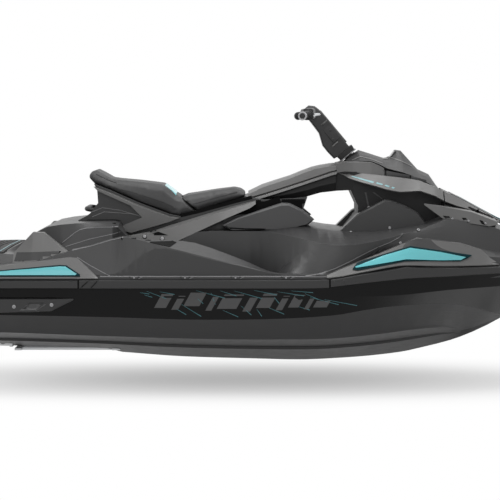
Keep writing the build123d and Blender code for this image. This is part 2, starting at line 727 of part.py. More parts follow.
tower_half = tower_half_width
tower_taper = []
for turn in (1, -1):
    with BuildPart() as wedge:
        with BuildSketch(Plane.XY.offset(290)):
            with BuildLine():
                Polyline((380, turn * 118), (396, turn * 118), (475, turn * 176), (475, turn * 200),
                         (380, turn * 200), close=True)
            make_face()
        extrude(amount=420)
    tower_taper.append(wedge)
tower = panel([(398, 636), (395, 545), (461, 550), (494, 478), (494, 437), (428, 356), (470, 300),
               (872, 330),
               (876, 484), (868, 546), (760, 600), (690, 626), (606, 636), (470, 634)], tower_half,
               -tower_half)
tower = joined(joined(tower, less=(deck, sleeve_room, neck_room, spine_beam, spine_cover, bin_well,
                                   *tower_taper)),
               steering_sleeve)
finish(tower, "tower")
base_half = [
    (398, 128, 622, 672), (433, 154, 630, 679), (470, 172, 628, 680), (552, 186, 616, 681),
    (585, 185, 612, 668),
    (612, 182, 610, 654)]
dash_base = sectioned([
    (x, whole([(0, low - 8), (y - 22, low - 8), (y, low + 6), (y - 4, high - 3), (y - 40, high),
               (0, high + 2)]))
    for x, y, low, high in base_half])
dash_base = joined(dash_base, less=(sleeve_room, neck_room, tower, spine_cover))
spine_cover = joined(spine_cover, less=(sleeve_room, neck_room, tower))
finish(spine_cover, "spine_cover")
spine_beam = joined(spine_beam, less=(sleeve_room, tower))
finish(spine_beam, "spine_beam")

cowl_outline = [(405, 340), (409, 368), (483, 441), (552, 478), (611, 511), (643, 506), (702, 484),
                (761, 452),
                (806, 397), (800, 320), (600, 300)]
leg_cowl = joined(panel(cowl_outline, tower_half, 252), panel(cowl_outline, 252, 262, 8))
leg_cowl = joined(leg_cowl, less=(deck, tower))
finish(twinned(leg_cowl), "leg_cowls")

blade_top = fair((405, 634), (453, 632), (615, 616), (774, 594), (850, 562), (991, 494), (1150, 404))
blade_low = fair((405, 626), (453, 600), (566, 568), (680, 541), (770, 546), (838, 523), (907, 487),
                 (991, 462), (1150, 396))
blade_y = fair((405, 128), (453, 182), (566, 236), (680, 256), (770, 256), (838, 250), (907, 236),
               (991, 212), (1150, 120))


def blade_section(x):
    """Leaning blade along the hood's edge."""
    y, low, high = blade_y(x), blade_low(x), blade_top(x)
    return [(y - 26, low + 4), (y, low), (y + 6, low + 5), (y - 36, high), (y - 56, high + 1)]


hood_blade = sectioned([(x, blade_section(x)) for x in (405, 453, 510, 566, 620, 680, 725, 770, 838,
                                                        hood_back - gap)])
hood_blade = joined(hood_blade, less=(tower, sleeve_room, neck_room, dash_base, spine_cover))
finish(twinned(hood_blade), "hood_blades")

# ---------------------------------------------------------------- dash pod
dash_half = [
    (446, 691, 60, 678, 96), (503, 731, 92, 682, 140), (552, 716, 110, 683, 168), (585, 705, 116, 671, 176),
    (624, 693, 118, 651, 181), (652, 700, 118, 643, 181), (676, 732, 96, 637, 181),
    (700, 728, 92, 631, 180),
    (778, 642, 104, 602, 172), (829, 619, 98, 574, 160), (866, 566, 84, 552, 140)]


def dash_section(x, high, shoulder_y, low, low_y):
    shoulder = low + 0.62 * (high - low)
    return whole([(0, low - 22), (low_y - 30, low - 22), (low_y, low), (shoulder_y, shoulder),
                  (shoulder_y * 0.45, high - 3),
                  (0, high)])


dash_pod = sectioned([(row[0], dash_section(*row)) for row in dash_half])
dash_pod = joined(dash_pod, less=(tower, hood_blade, sleeve_room, neck_room))
with BuildPart() as blade_twin:
    mirror(hood_blade.part, about=Plane.XZ)
dash_pod = largest(joined(dash_pod, less=(blade_twin, dash_base)))
finish(dash_pod, "dash_pod")
finish(dash_base, "dash_base")

# ---------------------------------------------------------------- hood, hinged at its front edge
hood_wall = 7
hood_stations = [hood_back, 940, 991, 1060, 1150, 1210, hood_front]


def hood_outline(x, wall):
    """Hood section, drawn in by a wall; the inside runs on below the rim."""
    low = top_z(x) + crown(x) + gap
    if x <= 1150:
        y, high = blade_y(x) - 38, blade_top(x)
    else:
        y, high = 82 - 0.2 * (x - 1150), 404 - 0.36 * (x - 1150)
    high = max(high, low + 12) - wall
    if wall:
        low -= 40
    return whole([(0, low), (y + 14 - wall, low), (y + 12 - wall, low + 0.4 * (high - low)),
                  (y - 10 - wall, high - 2),
                  (0, high + 8)])


hood = joined(
    sectioned([(x, hood_outline(x, 0)) for x in hood_stations]),
    less=(sectioned([(x, hood_outline(x, hood_wall)) for x in (hood_back + hood_wall, 940, 991, 1060,
        1150, 1210)]),))
hood = joined(
    hood, crossbar(hood_front, hood_hinge_z, 1.6 * hinge_pin_radius, gap - hinge_lug[0],
                   hinge_lug[0] - gap),
    crossbar(hood_front, hood_hinge_z, hinge_pin_radius, -hinge_lug[1], hinge_lug[1]))
finish(hood, "hood")
hood_edge = joined(
    sectioned([(x, blade_section(x)) for x in (hood_back, 940, 991, 1060, 1150)]), less=(hood,))
finish(twinned(hood_edge), "hood_edges")

# ---------------------------------------------------------------- side wings beside the hood
side_wing = sectioned([
    (786, [(278, 488), (300, 488), (298, 494), (280, 494)]),
    (868, [(250, 440), (306, 428), (298, 480), (262, 484)]),
    (1000, [(226, 420), (300, 404), (284, 456), (240, 462)]),
    (1084, [(190, 396), (272, 390), (258, 424), (206, 432)]),
    (1126, [(170, 398), (238, 396), (232, 408), (184, 412)])])
side_wing = joined(side_wing, less=(deck, tower, leg_cowl))
finish(twinned(side_wing), "side_wings")

# ---------------------------------------------------------------- sponsons
sponson = sectioned([
    (-1520, [(556, 24), (596, 30), (598, 86), (560, 98)]),
    (-1450, [(556, 20), (606, 26), (606, 90), (560, 98)]),
    (-870, [(560, 32), (606, 38), (606, 90), (566, 98)]),
    (-772, [(566, 84), (592, 86), (592, 92), (570, 96)])])
pockets = [
    panel([(x - 45, 44), (x - 12, 76), (x + 50, 76), (x + 17, 44)], 598, 640) for x in (-1330, -1140, -950)]
sponson = joined(sponson, less=(hull_topsides, hull_bottom, *pockets))
finish(twinned(sponson), "sponsons")

# ---------------------------------------------------------------- ride plate, grate and jet pump
ride_plate = sectioned([
    (x, whole([(0, keel(x) + 12), (tunnel_half_width, keel(x) + 46), (tunnel_half_width, keel(x) + 54),
               (0, keel(x) + 20)])) for x in (-1505, tunnel_front - 18)])
finish(ride_plate, "ride_plate")

grate_bars = [block((-1092, -602), (y - 6, y + 6), (-197, -186)) for y in (-60, -20, 20, 60)]
intake_grate = joined(
    *grate_bars, block((-640, -602), (-92, 92), (-196, -187)),
    block((-1092, -1060), (-92, 92), (-196, -187)),
    less=(hull_bottom,))
finish(intake_grate, "intake_grate")

pump_inner = pump_radius - pump_wall
outlet_radius = 56
pump_shell = turned([
    (-1110, pump_inner), (-1110, pump_radius + 14), (-1124, pump_radius + 14), (-1124, pump_radius),
    (-1300, pump_radius), (nozzle_pivot_x + 50, outlet_radius), (nozzle_pivot_x - 12, outlet_radius),
    (nozzle_pivot_x - 12, outlet_radius - 6), (nozzle_pivot_x + 52, outlet_radius - 6),
    (-1296, pump_inner)])
stator_hub = turned([(-1236, 0), (-1236, 34), (-1290, 34), (-1375, 8), (-1375, 0)])
stator_blade = block((-1290, -1240), (-3, 3), (pump_axis_z + 28, pump_axis_z + pump_radius - 2))
with BuildPart() as stators:
    for i in range(6):
        add(stator_blade.part.rotate(Axis((0, 0, pump_axis_z), (1, 0, 0)), 60 * i))
pump_carrier = joined(
    block((tunnel_front - 14, tunnel_front), (-140, 140), (pump_axis_z - 104, tunnel_roof - 2)),
    less=(turned([(-1130, 0), (-1130, 82), (-1090, 82), (-1090, 0)]),))
arm_y = (98, 110)
pivot_x, pivot_z = bucket_pivot
bracket_outline = [(-1240, pump_axis_z + 40), (-1240, pump_axis_z - 20), (pivot_x - 22, pivot_z - 16),
                   (pivot_x - 22, pivot_z + 18), (-1320, pump_axis_z + 62)]
brackets = joined(panel(bracket_outline, arm_y[0], arm_y[1]), panel(bracket_outline, -arm_y[1], -arm_y[0]))
bracket_feet = joined(
    block((-1290, -1244), (80, arm_y[1]), (pump_axis_z - 10, pump_axis_z + 30)),
    block((-1290, -1244), (-arm_y[1], -80), (pump_axis_z - 10, pump_axis_z + 30)),
    less=(turned([(-1300, 0), (-1300, 84), (-1230, 84), (-1230, 0)]),))
with BuildPart() as bucket_pin_holes:
    with BuildSketch(Plane(origin=(0, 200, 0), x_dir=(1, 0, 0), z_dir=(0, -1, 0))):
        with Locations(bucket_pivot):
            Circle(8.1)
    extrude(amount=400)
with BuildPart() as nozzle_pins:
    for z in (pump_axis_z + 50, pump_axis_z - 50 - 34):
        with BuildSketch(Plane.XY.offset(z)):
            with Locations((nozzle_pivot_x, 0)):
                Circle(8)
        extrude(amount=34)
pump_housing = joined(pump_shell, stator_hub, stators, brackets, bracket_feet, nozzle_pins,
                      less=(bucket_pin_holes,))
finish(pump_housing, "pump_housing")
finish(pump_carrier, "pump_carrier")

# ---------------------------------------------------------------- impeller on its shaft
impeller_tip = pump_inner - impeller_clearance
with BuildPart() as impeller_blade:
    for height, turn in ((26, 62), (impeller_tip, 32)):
        with BuildSketch(Plane(origin=(-1180, 0, pump_axis_z + height),
                               x_dir=(cos(radians(turn)), sin(radians(turn)), 0), z_dir=(0, 0, 1))):
            Rectangle(76, 5)
    loft()
with BuildPart() as impeller_blades:
    for i in range(4):
        add(impeller_blade.part.rotate(Axis((0, 0, pump_axis_z), (1, 0, 0)), 90 * i))
impeller_hub = turned([(-1228, 0), (-1228, 34), (-1150, 32), (-1130, 22), (-1126, driveshaft_radius),
                       (-720, driveshaft_radius), (-720, 0)])
tip_circle = turned([(-1228, 0), (-1228, impeller_tip), (-1132, impeller_tip), (-1132, 0)])
with BuildPart() as impeller:
    add(impeller_blades.part)
    add(tip_circle.part, mode=Mode.INTERSECT)
    add(impeller_hub.part)
finish(impeller, "impeller")

# ---------------------------------------------------------------- steering nozzle
nozzle_shell = turned([
    (nozzle_pivot_x + 12, 71), (nozzle_pivot_x + 12, 79), (-1420, 79), (-1540, 54), (-1540, 46),
    (-1424, 70)])
with BuildPart() as nozzle:
    add(nozzle_shell.part)
    with BuildSketch(Plane.XY.offset(pump_axis_z - 100)):
        with Locations((nozzle_pivot_x, 0)):
            Circle(8.2)
    extrude(amount=200, mode=Mode.SUBTRACT)
nozzle_arm = block((-1450, -1410), (52, 86), (pump_axis_z - 50, pump_axis_z - 36))
nozzle = joined(nozzle, joined(nozzle_arm, less=(turned([(-1500, 0), (-1500, 62), (-1420, 74),
                                                         (-1390, 74), (-1390, 0)]),)))
finish(nozzle, "nozzle")

# ---------------------------------------------------------------- reverse bucket
bucket_arm_y = (115, 124)


def bucket_point(radius, angle):
    """Point on an arc about the bucket's pivot, by its angle above straight aft."""
    return (pivot_x - radius * cos(radians(angle)), pivot_z + radius * sin(radians(angle)))


bucket_angles = (18, 32, 46, 60, 74)
bucket_arc = [bucket_point(bucket_radius, a) for a in bucket_angles]
bucket_arc += [bucket_point(bucket_radius - 8, a) for a in reversed(bucket_angles)]
bucket_cheek = [(pivot_x + 18, pivot_z - 14), (pivot_x - 10, pivot_z - 18),
                bucket_point(bucket_radius - 4, 18),
                bucket_point(bucket_radius - 4, 46), bucket_point(bucket_radius - 4, 74),
                (pivot_x + 18, pivot_z + 16)]
bucket_cheeks = joined(panel(bucket_cheek, *bucket_arm_y),
                       panel(bucket_cheek, -bucket_arm_y[1], -bucket_arm_y[0]))
with BuildPart() as bucket_pins:
    with BuildSketch(Plane(origin=(0, bucket_arm_y[1], 0), x_dir=(1, 0, 0), z_dir=(0, -1, 0))):
        with Locations(bucket_pivot):
            Circle(8)
    extrude(amount=bucket_arm_y[1] - arm_y[0])
    mirror(about=Plane.XZ)
bucket = joined(panel(bucket_arc, bucket_arm_y[1], -bucket_arm_y[1]), bucket_cheeks, bucket_pins)
finish(bucket, "reverse_bucket")

# ---------------------------------------------------------------- handlebar and steering neck
neck_outline = [            # height on the column, width, reach aft, reach forward, corner radius
    (-14, 74, 40, 40, 8), (14, 84, 44, 44, 8), (17, 74, 60, 30, 8), (60, 80, 63, 31, 10),
    (97, 86, 62, 32, 10),
    (152, 98, 38, 34, 10), (206, 110, 35, 34, 10), (240, 104, 34, 32, 10), (262, 88, 32, 27, 9),
    (282, 58, 20, 8, 5)]
with BuildPart() as neck_body:
    for height, wide, aft, forward, corner in neck_outline:
        with BuildSketch(on_column(height)):
            with Locations((0, (aft - forward) / 2)):
                RectangleRounded(wide, aft + forward, corner)
    loft(ruled=True)
with BuildPart() as stem:
    with BuildSketch(on_column(-90)):
        Circle(stem_radius)
    extrude(amount=100)
bar_centre = (296, 0, 898)
bar_points = [(236, -bar_reach, 889), (284, -150, 900), (292, -100, 898), (292, 100, 898), (284, 150, 900),
              (236, bar_reach, 889)]
handlebar = tube(bar_points, bar_radius, 40)
steering_neck = joined(neck_body, stem, less=(handlebar,))
finish(steering_neck, "steering_neck")
finish(handlebar, "handlebar")


def along_bar(y):
    """Plane square to the port arm of the bar, y out from the centreline."""
    inner, outer = Vector(*bar_points[4]), Vector(*bar_points[5])
    arm = (outer - inner).normalized()
    return Plane(origin=inner + arm * ((y - inner.Y) / arm.Y), x_dir=(0, 0, 1), z_dir=arm)


grip_flange = 6
grip_start = bar_reach - grip_length
with BuildPart() as grip:
    with BuildSketch(along_bar(grip_start)):
        Circle(grip_radius + 6)
    extrude(amount=grip_flange)
    with BuildSketch(along_bar(grip_start)):
        Circle(grip_radius)
    extrude(amount=grip_length + 8)
    with BuildSketch(along_bar(bar_reach + 1)):
        Circle(grip_radius + 2)
    extrude(amount=12)
grip = joined(grip, less=(handlebar,))
finish(twinned(grip), "grips")

pod_length = 56
with BuildPart() as switch_pod:
    with BuildSketch(along_bar(grip_start - pod_length - 6)):
        RectangleRounded(52, 46, 10)
    extrude(amount=pod_length)
switch_pod = joined(switch_pod, less=(handlebar,))


def beside_bar(y, ahead, above=0):
    """Point ahead of the port arm of the bar."""
    place = along_bar(y).origin
    return (place.X + ahead, place.Y, place.Z + above)


lever = tube([beside_bar(grip_start - 30, 12), beside_bar(grip_start - 14, 50),
              beside_bar(bar_reach - 28, 46)], 5, 8)
lever = joined(lever, less=(switch_pod, handlebar))
finish(twinned(switch_pod), "switch_pods")
finish(twinned(lever), "levers")

# ---------------------------------------------------------------- tie-down and tow eyes
eye_thickness = 10
stern_eye_hole = 6
tow_eye_hole = 8
bow_eye_hole = 8


def eye_plate(outline, y, centre, hole):
    """Upright plate with a hole through it."""
    with BuildPart() as plate:
        with BuildSketch(side(y + eye_thickness / 2)):
            with BuildLine():
                Polyline(*outline, close=True)
            make_face()
            with Locations(centre):
                Circle(hole, mode=Mode.SUBTRACT)
        extrude(amount=eye_thickness)
    return plate


def stern_eye(y, z, hole):
    x = hull_end - hole - 4
    return eye_plate([(hull_end, z - 24), (x - hole, z - 12), (x - hole - 6, z), (x - hole, z + 12),
                      (hull_end, z + 24)],
                     y, (x, z), hole)


stern_eyes = joined(stern_eye(330, 85, stern_eye_hole), stern_eye(-330, 85, stern_eye_hole))
finish(stern_eyes, "stern_eyes")
finish(stern_eye(0, 222, tow_eye_hole), "tow_eye")
bow_eye = joined(
    eye_plate([(1500, 160), (1524, 128), (1552, 126), (1570, 146), (1600, 205), (1540, 200)], 0,
              (1544, 148), bow_eye_hole),
    less=(hull_topsides, bow_bumper))
finish(bow_eye, "bow_eye")
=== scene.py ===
import json
import math
from contextlib import contextmanager

import bmesh
import bpy
from mathutils import Matrix, Vector
from mathutils.bvhtree import BVHTree


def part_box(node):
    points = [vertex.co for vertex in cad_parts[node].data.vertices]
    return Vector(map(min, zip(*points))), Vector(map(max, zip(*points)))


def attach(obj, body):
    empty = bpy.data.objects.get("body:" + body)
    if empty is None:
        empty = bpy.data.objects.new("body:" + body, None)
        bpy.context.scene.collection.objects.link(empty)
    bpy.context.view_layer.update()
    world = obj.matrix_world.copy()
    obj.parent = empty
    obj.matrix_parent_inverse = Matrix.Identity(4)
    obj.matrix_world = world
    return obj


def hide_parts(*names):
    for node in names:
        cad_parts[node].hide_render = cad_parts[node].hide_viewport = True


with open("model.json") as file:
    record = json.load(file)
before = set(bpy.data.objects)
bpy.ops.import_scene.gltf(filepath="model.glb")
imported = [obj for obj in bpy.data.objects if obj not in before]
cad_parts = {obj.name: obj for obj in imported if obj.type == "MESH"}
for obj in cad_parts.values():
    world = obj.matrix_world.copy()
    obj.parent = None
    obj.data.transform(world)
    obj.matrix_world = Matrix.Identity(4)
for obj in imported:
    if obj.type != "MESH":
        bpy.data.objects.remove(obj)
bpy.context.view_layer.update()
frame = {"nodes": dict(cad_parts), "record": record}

nodes = frame["nodes"]

# planes outside the craft, in metres, where sheets and probes start
side_start, top_start, stern_start, below_start = -1.2, 1.6, -2.4, -1.0
edge_round = 0.0015             # bevel of the solid pieces' edges
# these widths also serve the painted highlight and shade lines
line_fine, line_plain, line_wide = 0.0030, 0.0040, 0.0045   # widths of seams and welts
film, skin_thin, skin_plain = 0.0005, 0.0010, 0.0012        # how far sheets stand out from a skin
film_sink = 0.0003              # how deep the back of a film lies in the skin
coarse, fine = 0.05, 0.006      # grids of sheets laid on flat and on curved places


# ------------------------------------------------------------------ shared effects

def effect(name, inputs, outputs):
    """A node group with named sockets; inputs and outputs are {name: (kind, start value)}."""
    tree = bpy.data.node_groups.new(name, "ShaderNodeTree")
    for label, (kind, value) in inputs.items():
        socket = tree.interface.new_socket(name=label, in_out="INPUT", socket_type=kind)
        if value is not None:
            socket.default_value = value
    for label, kind in outputs.items():
        tree.interface.new_socket(name=label, in_out="OUTPUT", socket_type=kind)
    return tree, tree.nodes.new("NodeGroupInput"), tree.nodes.new("NodeGroupOutput")


def put(tree, kind, links=(), **settings):
    """One node in a tree, with its settings, values and incoming links by socket number."""
    node = tree.nodes.new(kind)
    for key, value in settings.items():
        setattr(node, key, value)
    for where, source in dict(links).items():
        if isinstance(source, bpy.types.NodeSocket):
            tree.links.new(source, node.inputs[where])
        else:
            node.inputs[where].default_value = source
    return node


def calc(tree, operation, *values):
    """The result socket of one Math node."""
    return put(tree, "ShaderNodeMath", enumerate(values), operation=operation).outputs[0]


def grain_effect():
    """Fine texture of moulded plastic and gelcoat, with slow drift of tone."""
    tree, inlet, outlet = effect("moulded grain", {
        "Place": ("NodeSocketVector", None), "Grain": ("NodeSocketFloat", 900.0),
        "Pebble": ("NodeSocketFloat", 0.5), "Drift": ("NodeSocketFloat", 3.0)},
        {"Height": "NodeSocketFloat", "Tone": "NodeSocketFloat"})
    place, grain, pebble, drift = inlet.outputs[:4]
    fine = put(tree, "ShaderNodeTexNoise", {"Vector": place, "Scale": grain, "Detail": 3.0})
    cells = put(tree, "ShaderNodeTexVoronoi", {"Vector": place, "Scale": grain}, feature="SMOOTH_F1")
    mixed = put(tree, "ShaderNodeMix", {0: pebble, 2: fine.outputs[0], 3: cells.outputs[0]})
    slow = put(tree, "ShaderNodeTexNoise", {"Vector": place, "Scale": drift, "Detail": 2.0})
    tree.links.new(mixed.outputs[0], outlet.inputs["Height"])
    tree.links.new(slow.outputs[0], outlet.inputs["Tone"])
    return tree


def rubbed_effect():
    """Faint hairlines and wiping marks of washed gelcoat and paint."""
    tree, inlet, outlet = effect("wiping marks", {
        "Place": ("NodeSocketVector", None), "Density": ("NodeSocketFloat", 18.0)},
        {"Marks": "NodeSocketFloat"})
    slant, stretch, low, high = (0.3, 0.2, 0.5), (1.0, 1.0, 9.0), 0.45, 0.75
    turned = put(tree, "ShaderNodeMapping", {0: inlet.outputs[0], 2: slant, 3: stretch})
    streaks = put(tree, "ShaderNodeTexNoise", {
        "Vector": turned.outputs[0], "Scale": inlet.outputs[1], "Detail": 6.0, "Roughness": 0.7})
    peaks = put(tree, "ShaderNodeMapRange", {0: streaks.outputs[0], 1: low, 2: high})
    tree.links.new(peaks.outputs[0], outlet.inputs["Marks"])
    return tree


grain_group, rubbed_group = grain_effect(), rubbed_effect()


# ------------------------------------------------------------------ finishes

def surface(name, dark, light, rough, grain=900.0, pebble=0.5, relief=0.1, depth=0.0004, marks=0.1, **shader):
    """A finish that drifts between two tones, with grain in its bump and marks in its gloss."""
    made = bpy.data.materials.new(name)
    made.use_nodes = True
    tree = made.node_tree
    body = tree.nodes["Principled BSDF"]
    place = put(tree, "ShaderNodeTexCoord").outputs["Object"]
    grained = put(tree, "ShaderNodeGroup", node_tree=grain_group)
    rubbed = put(tree, "ShaderNodeGroup", node_tree=rubbed_group)
    for group in (grained, rubbed):
        tree.links.new(place, group.inputs["Place"])
    grained.inputs["Grain"].default_value = grain
    grained.inputs["Pebble"].default_value = pebble
    tone = put(tree, "ShaderNodeMix", {0: grained.outputs["Tone"], 6: (*dark, 1), 7: (*light, 1)},
               data_type="RGBA")
    gloss = put(tree, "ShaderNodeMapRange", {0: rubbed.outputs["Marks"], 3: rough, 4: rough + marks})
    bump = put(tree, "ShaderNodeBump", {
        "Strength": relief, "Distance": depth, "Height": grained.outputs["Height"]})
    tree.links.new(tone.outputs[2], body.inputs["Base Color"])
    tree.links.new(gloss.outputs[0], body.inputs["Roughness"])
    tree.links.new(bump.outputs[0], body.inputs["Normal"])
    for key, value in shader.items():
        body.inputs[key.replace("_", " ")].default_value = value
    return made


def grey(level):
    return (level, level, level * 1.02)


finishes = {
    "hull_matte": surface("satin gelcoat", grey(0.036), grey(0.043), 0.38, grain=1200, relief=0.04,
                          Specular_IOR_Level=0.35),
    "hull_gloss": surface("polished black gelcoat", grey(0.005), grey(0.007), 0.12, grain=400, relief=0.01,
                          marks=0.05, Specular_IOR_Level=0.14),
    "deck": surface("charcoal deck moulding", grey(0.034), grey(0.040), 0.38, grain=1400, relief=0.08),
    "duct_black": surface("black pillar moulding", grey(0.012), grey(0.016), 0.5, grain=1100, relief=0.15,
                          Specular_IOR_Level=0.3),
    "frame_grey": surface("satin grey paint", (0.150, 0.149, 0.148), (0.168, 0.167, 0.165), 0.38, grain=2400,
                          relief=0.05, Metallic=0.25),
    "teal": surface("teal gloss", (0.17, 0.74, 0.80), (0.19, 0.78, 0.84), 0.18, relief=0.02, Coat_Weight=0.4),
    "pad": surface("soft charcoal pad", grey(0.072), grey(0.084), 0.45, grain=1500, relief=0.12),
    "dash": surface("dash moulding", grey(0.024), grey(0.030), 0.45, grain=1300, relief=0.2),
    "rubber": surface("bumper rubber", grey(0.016), grey(0.021), 0.42, grain=1000, relief=0.08),
    "trim_black": surface("black trim plastic", grey(0.018), grey(0.024), 0.4, grain=1200, relief=0.15),
    "mat": surface("deck mat foam", grey(0.022), grey(0.030), 0.75, grain=1600, relief=0.3),
    "seat": surface("marine vinyl", grey(0.034), grey(0.042), 0.5, grain=700, pebble=0.85, relief=0.25,
                    depth=0.0006),
    "cast_aluminium": surface("cast aluminium", (0.50, 0.51, 0.52), (0.58, 0.59, 0.60), 0.42, grain=900,
                              relief=0.15, Metallic=0.9),
    "steel": surface("stainless steel", (0.55, 0.55, 0.56), (0.62, 0.62, 0.63), 0.25, relief=0.05,
                     Metallic=1.0),
    "steel_black": surface("black powder coat", grey(0.02), grey(0.026), 0.4, relief=0.2),
    "engine": surface("engine block", grey(0.08), grey(0.11), 0.55, relief=0.3, Metallic=0.6),
    "welt": surface("seat welt", grey(0.020), grey(0.026), 0.55, relief=0.1),
    "display": surface("display glass", grey(0.010), grey(0.014), 0.08, relief=0.0, marks=0.03),
    "button_red": surface("red button", (0.42, 0.03, 0.02), (0.46, 0.04, 0.03), 0.35, relief=0.02),
    "button_green": surface("green button", (0.03, 0.28, 0.09), (0.04, 0.32, 0.10), 0.35, relief=0.02),
    "bar_end": surface("pale bar end", grey(0.62), grey(0.68), 0.4, relief=0.03),
    # near black, for dark joints and for painted shade in gaps, recesses and under edges
    "gap_black": surface("joint black and painted shade", grey(0.004), grey(0.005), 0.7, relief=0.02,
                         Specular_IOR_Level=0.1),
    "bolt_grey": surface("dull stainless", grey(0.30), grey(0.36), 0.38, relief=0.05, Metallic=0.6),
    "teal_dark": surface("dark teal border", (0.004, 0.030, 0.036), (0.005, 0.036, 0.043), 0.5, relief=0.01,
                         Specular_IOR_Level=0.1),
    # pale grey painted highlight for lit edges, rims and creases
    "pale_edge": surface("painted highlight edge", grey(0.26), grey(0.30), 0.4, relief=0.02),
    "teal_dim": surface("dim teal film", (0.06, 0.22, 0.25), (0.08, 0.26, 0.29), 0.3, relief=0.01),
    "teal_pale": surface("pale teal film", (0.30, 0.58, 0.62), (0.34, 0.62, 0.66), 0.3, relief=0.01),
    "hull_grey": surface("grey film", grey(0.075), grey(0.085), 0.3, relief=0.01),
    "grip": surface("grip rubber", grey(0.016), grey(0.02), 0.6, grain=1600, relief=0.2),
}

slot_of = {part["node"]: part["material_slot"] for part in frame["record"]["subparts"]}
for name, node in nodes.items():
    node.data.materials.clear()
    node.data.materials.append(finishes[slot_of[name]])


# ------------------------------------------------------------------ edges of the solid pieces

def soften(piece, width, same_place=0.00005, angle=28):
    """Welded, bevelled and smoothly shaded, with the form left as it is."""
    weld = piece.modifiers.new("weld", "WELD")
    weld.merge_threshold = same_place
    bevel = piece.modifiers.new("edges", "BEVEL")
    bevel.width, bevel.segments = width, 2
    bevel.limit_method, bevel.angle_limit = "ANGLE", math.radians(angle)
    weighted = piece.modifiers.new("flats", "WEIGHTED_NORMAL")
    weighted.mode, weighted.keep_sharp = "FACE_AREA", False
    for face in piece.data.polygons:
        face.use_smooth = True


for node in nodes.values():
    soften(node, edge_round)


# ------------------------------------------------------------------ bench tools

def free_hands():
    """Object mode with nothing selected."""
    if bpy.context.mode != "OBJECT":
        bpy.ops.object.mode_set(mode="OBJECT")
    bpy.ops.object.select_all(action="DESELECT")


def hold(*pieces):
    """Select these pieces and no others; the first is the active one."""
    free_hands()
    for piece in pieces:
        piece.select_set(True)
    bpy.context.view_layer.objects.active = pieces[0]
    return pieces[0]


def fresh(name, primitive, stretch=(1, 1, 1), **settings):
    """A new primitive at its place, which is then held by its mesh."""
    free_hands()
    primitive(**settings)
    piece = bpy.context.object
    piece.name = piece.data.name = name
    piece.scale = stretch
    bpy.ops.object.transform_apply(location=True, rotation=True, scale=True)
    return piece


@contextmanager
def editing(piece, kind="FACE"):
    hold(piece)
    bpy.ops.object.mode_set(mode="EDIT")
    bpy.ops.mesh.select_mode(type=kind)
    bpy.ops.mesh.select_all(action="SELECT")
    yield
    bpy.ops.object.mode_set(mode="OBJECT")


def faces_up(face, upright=0.9):
    return face.normal.z > upright


def choose(piece, kind, test):
    """Select the faces, edges or corners of the piece in hand that pass a test."""
    bpy.ops.mesh.select_all(action="DESELECT")
    form = bmesh.from_edit_mesh(piece.data)
    for item in getattr(form, kind):
        if test(item):
            item.select_set(True)
    form.select_flush(True)
    bmesh.update_edit_mesh(piece.data)


def applied(piece, *steps):
    """Modifiers added and applied in turn, each as (kind, settings)."""
    hold(piece)
    for kind, settings in steps:
        step = piece.modifiers.new(kind.title(), kind)
        for key, value in settings.items():
            setattr(step, key, value)
        bpy.ops.object.modifier_apply(modifier=step.name)
    return piece


def rounded(piece, width, segments=2, turn=30):
    """Bevelled along the edges that turn by more than an angle."""
    return applied(piece, ("BEVEL", {"width": width, "segments": segments, "limit_method": "ANGLE",
                                     "angle_limit": math.radians(turn)}))


def united(name, pieces):
    piece = hold(*pieces)
    if len(pieces) > 1:
        bpy.ops.object.join()
    piece.name = piece.data.name = name
    return piece


def copied(piece, place):
    """A copy with its own mesh, moved by a matrix."""
    twin = piece.copy()
    twin.data = piece.data.copy()
    bpy.context.scene.collection.objects.link(twin)
    twin.data.transform(place)
    if place.determinant() < 0:
        twin.data.flip_normals()
    return twin


def plain_copy(name, node):
    """A bare copy of a solid piece, without its keys and modifiers."""
    piece = copied(nodes[node], Matrix())
    for key in list(piece.keys()):
        del piece[key]
    piece.modifiers.clear()
    piece.name = piece.data.name = name
    return piece


def repeated(name, pattern, places):
    """One joined piece from copies of a pattern, which is then put away."""
    piece = united(name, [copied(pattern, place) for place in places])
    bpy.data.objects.remove(pattern)
    return piece


def dressed(piece, slot, body="hull", finish=None, smooth=32, both=False):
    """Finish (the slot's own unless another is named), shading and body of a made piece, mirrored across the
    craft if wanted.
    """
    if both:
        applied(piece, ("MIRROR", {"use_axis": (False, True, False), "use_mirror_merge": False}))
    piece.data.materials.clear()
    piece.data.materials.append(finishes[finish or slot])
    hold(piece)
    bpy.ops.object.shade_smooth_by_angle(angle=math.radians(smooth))
    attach(piece, body)
    return piece


def skin_tree(*names):
    """Ray-casting tree of some solid pieces at rest."""
    corners, faces = [], []
    for name in names:
        mesh = nodes[name].data
        first = len(corners)
        corners += [corner.co.copy() for corner in mesh.vertices]
        faces += [[first + i for i in face.vertices] for face in mesh.polygons]
    return BVHTree.FromPolygons(corners, faces)


def touch(tree, start, heading):
    """Place and outward normal where a probe meets the skin."""
    place, normal, _, _ = tree.ray_cast(Vector(start), Vector(heading))
    if place is None:
        raise ValueError("probe misses at %s" % (tuple(start),))
    return place, normal if normal.dot(Vector(heading)) < 0 else -normal


def from_side(tree, x, z, start=side_start):
    return touch(tree, (x, start, z), (0, 1, 0))


def standing(place, normal):
    """Matrix that stands a piece made about +Z on a skin."""
    return Matrix.Translation(place) @ normal.to_track_quat("Z", "Y").to_matrix().to_4x4()


def bolt(radius, height):
    """Button-head bolt with a round socket, standing on the origin."""
    sunk, crown, rise, land, socket = 0.4, 0.22, 0.25, 0.28, 0.7     # shares of the radius and height
    head = fresh("bolt", bpy.ops.mesh.primitive_cylinder_add, vertices=18, radius=radius, depth=height,
                 location=(0, 0, height * sunk))
    with editing(head):
        choose(head, "faces", faces_up)
        bpy.ops.mesh.inset(thickness=radius * crown, depth=height * rise)
        bpy.ops.mesh.inset(thickness=radius * land)
        bpy.ops.mesh.extrude_region_move(TRANSFORM_OT_translate={"value": (0, 0, -height * socket)})
    return head


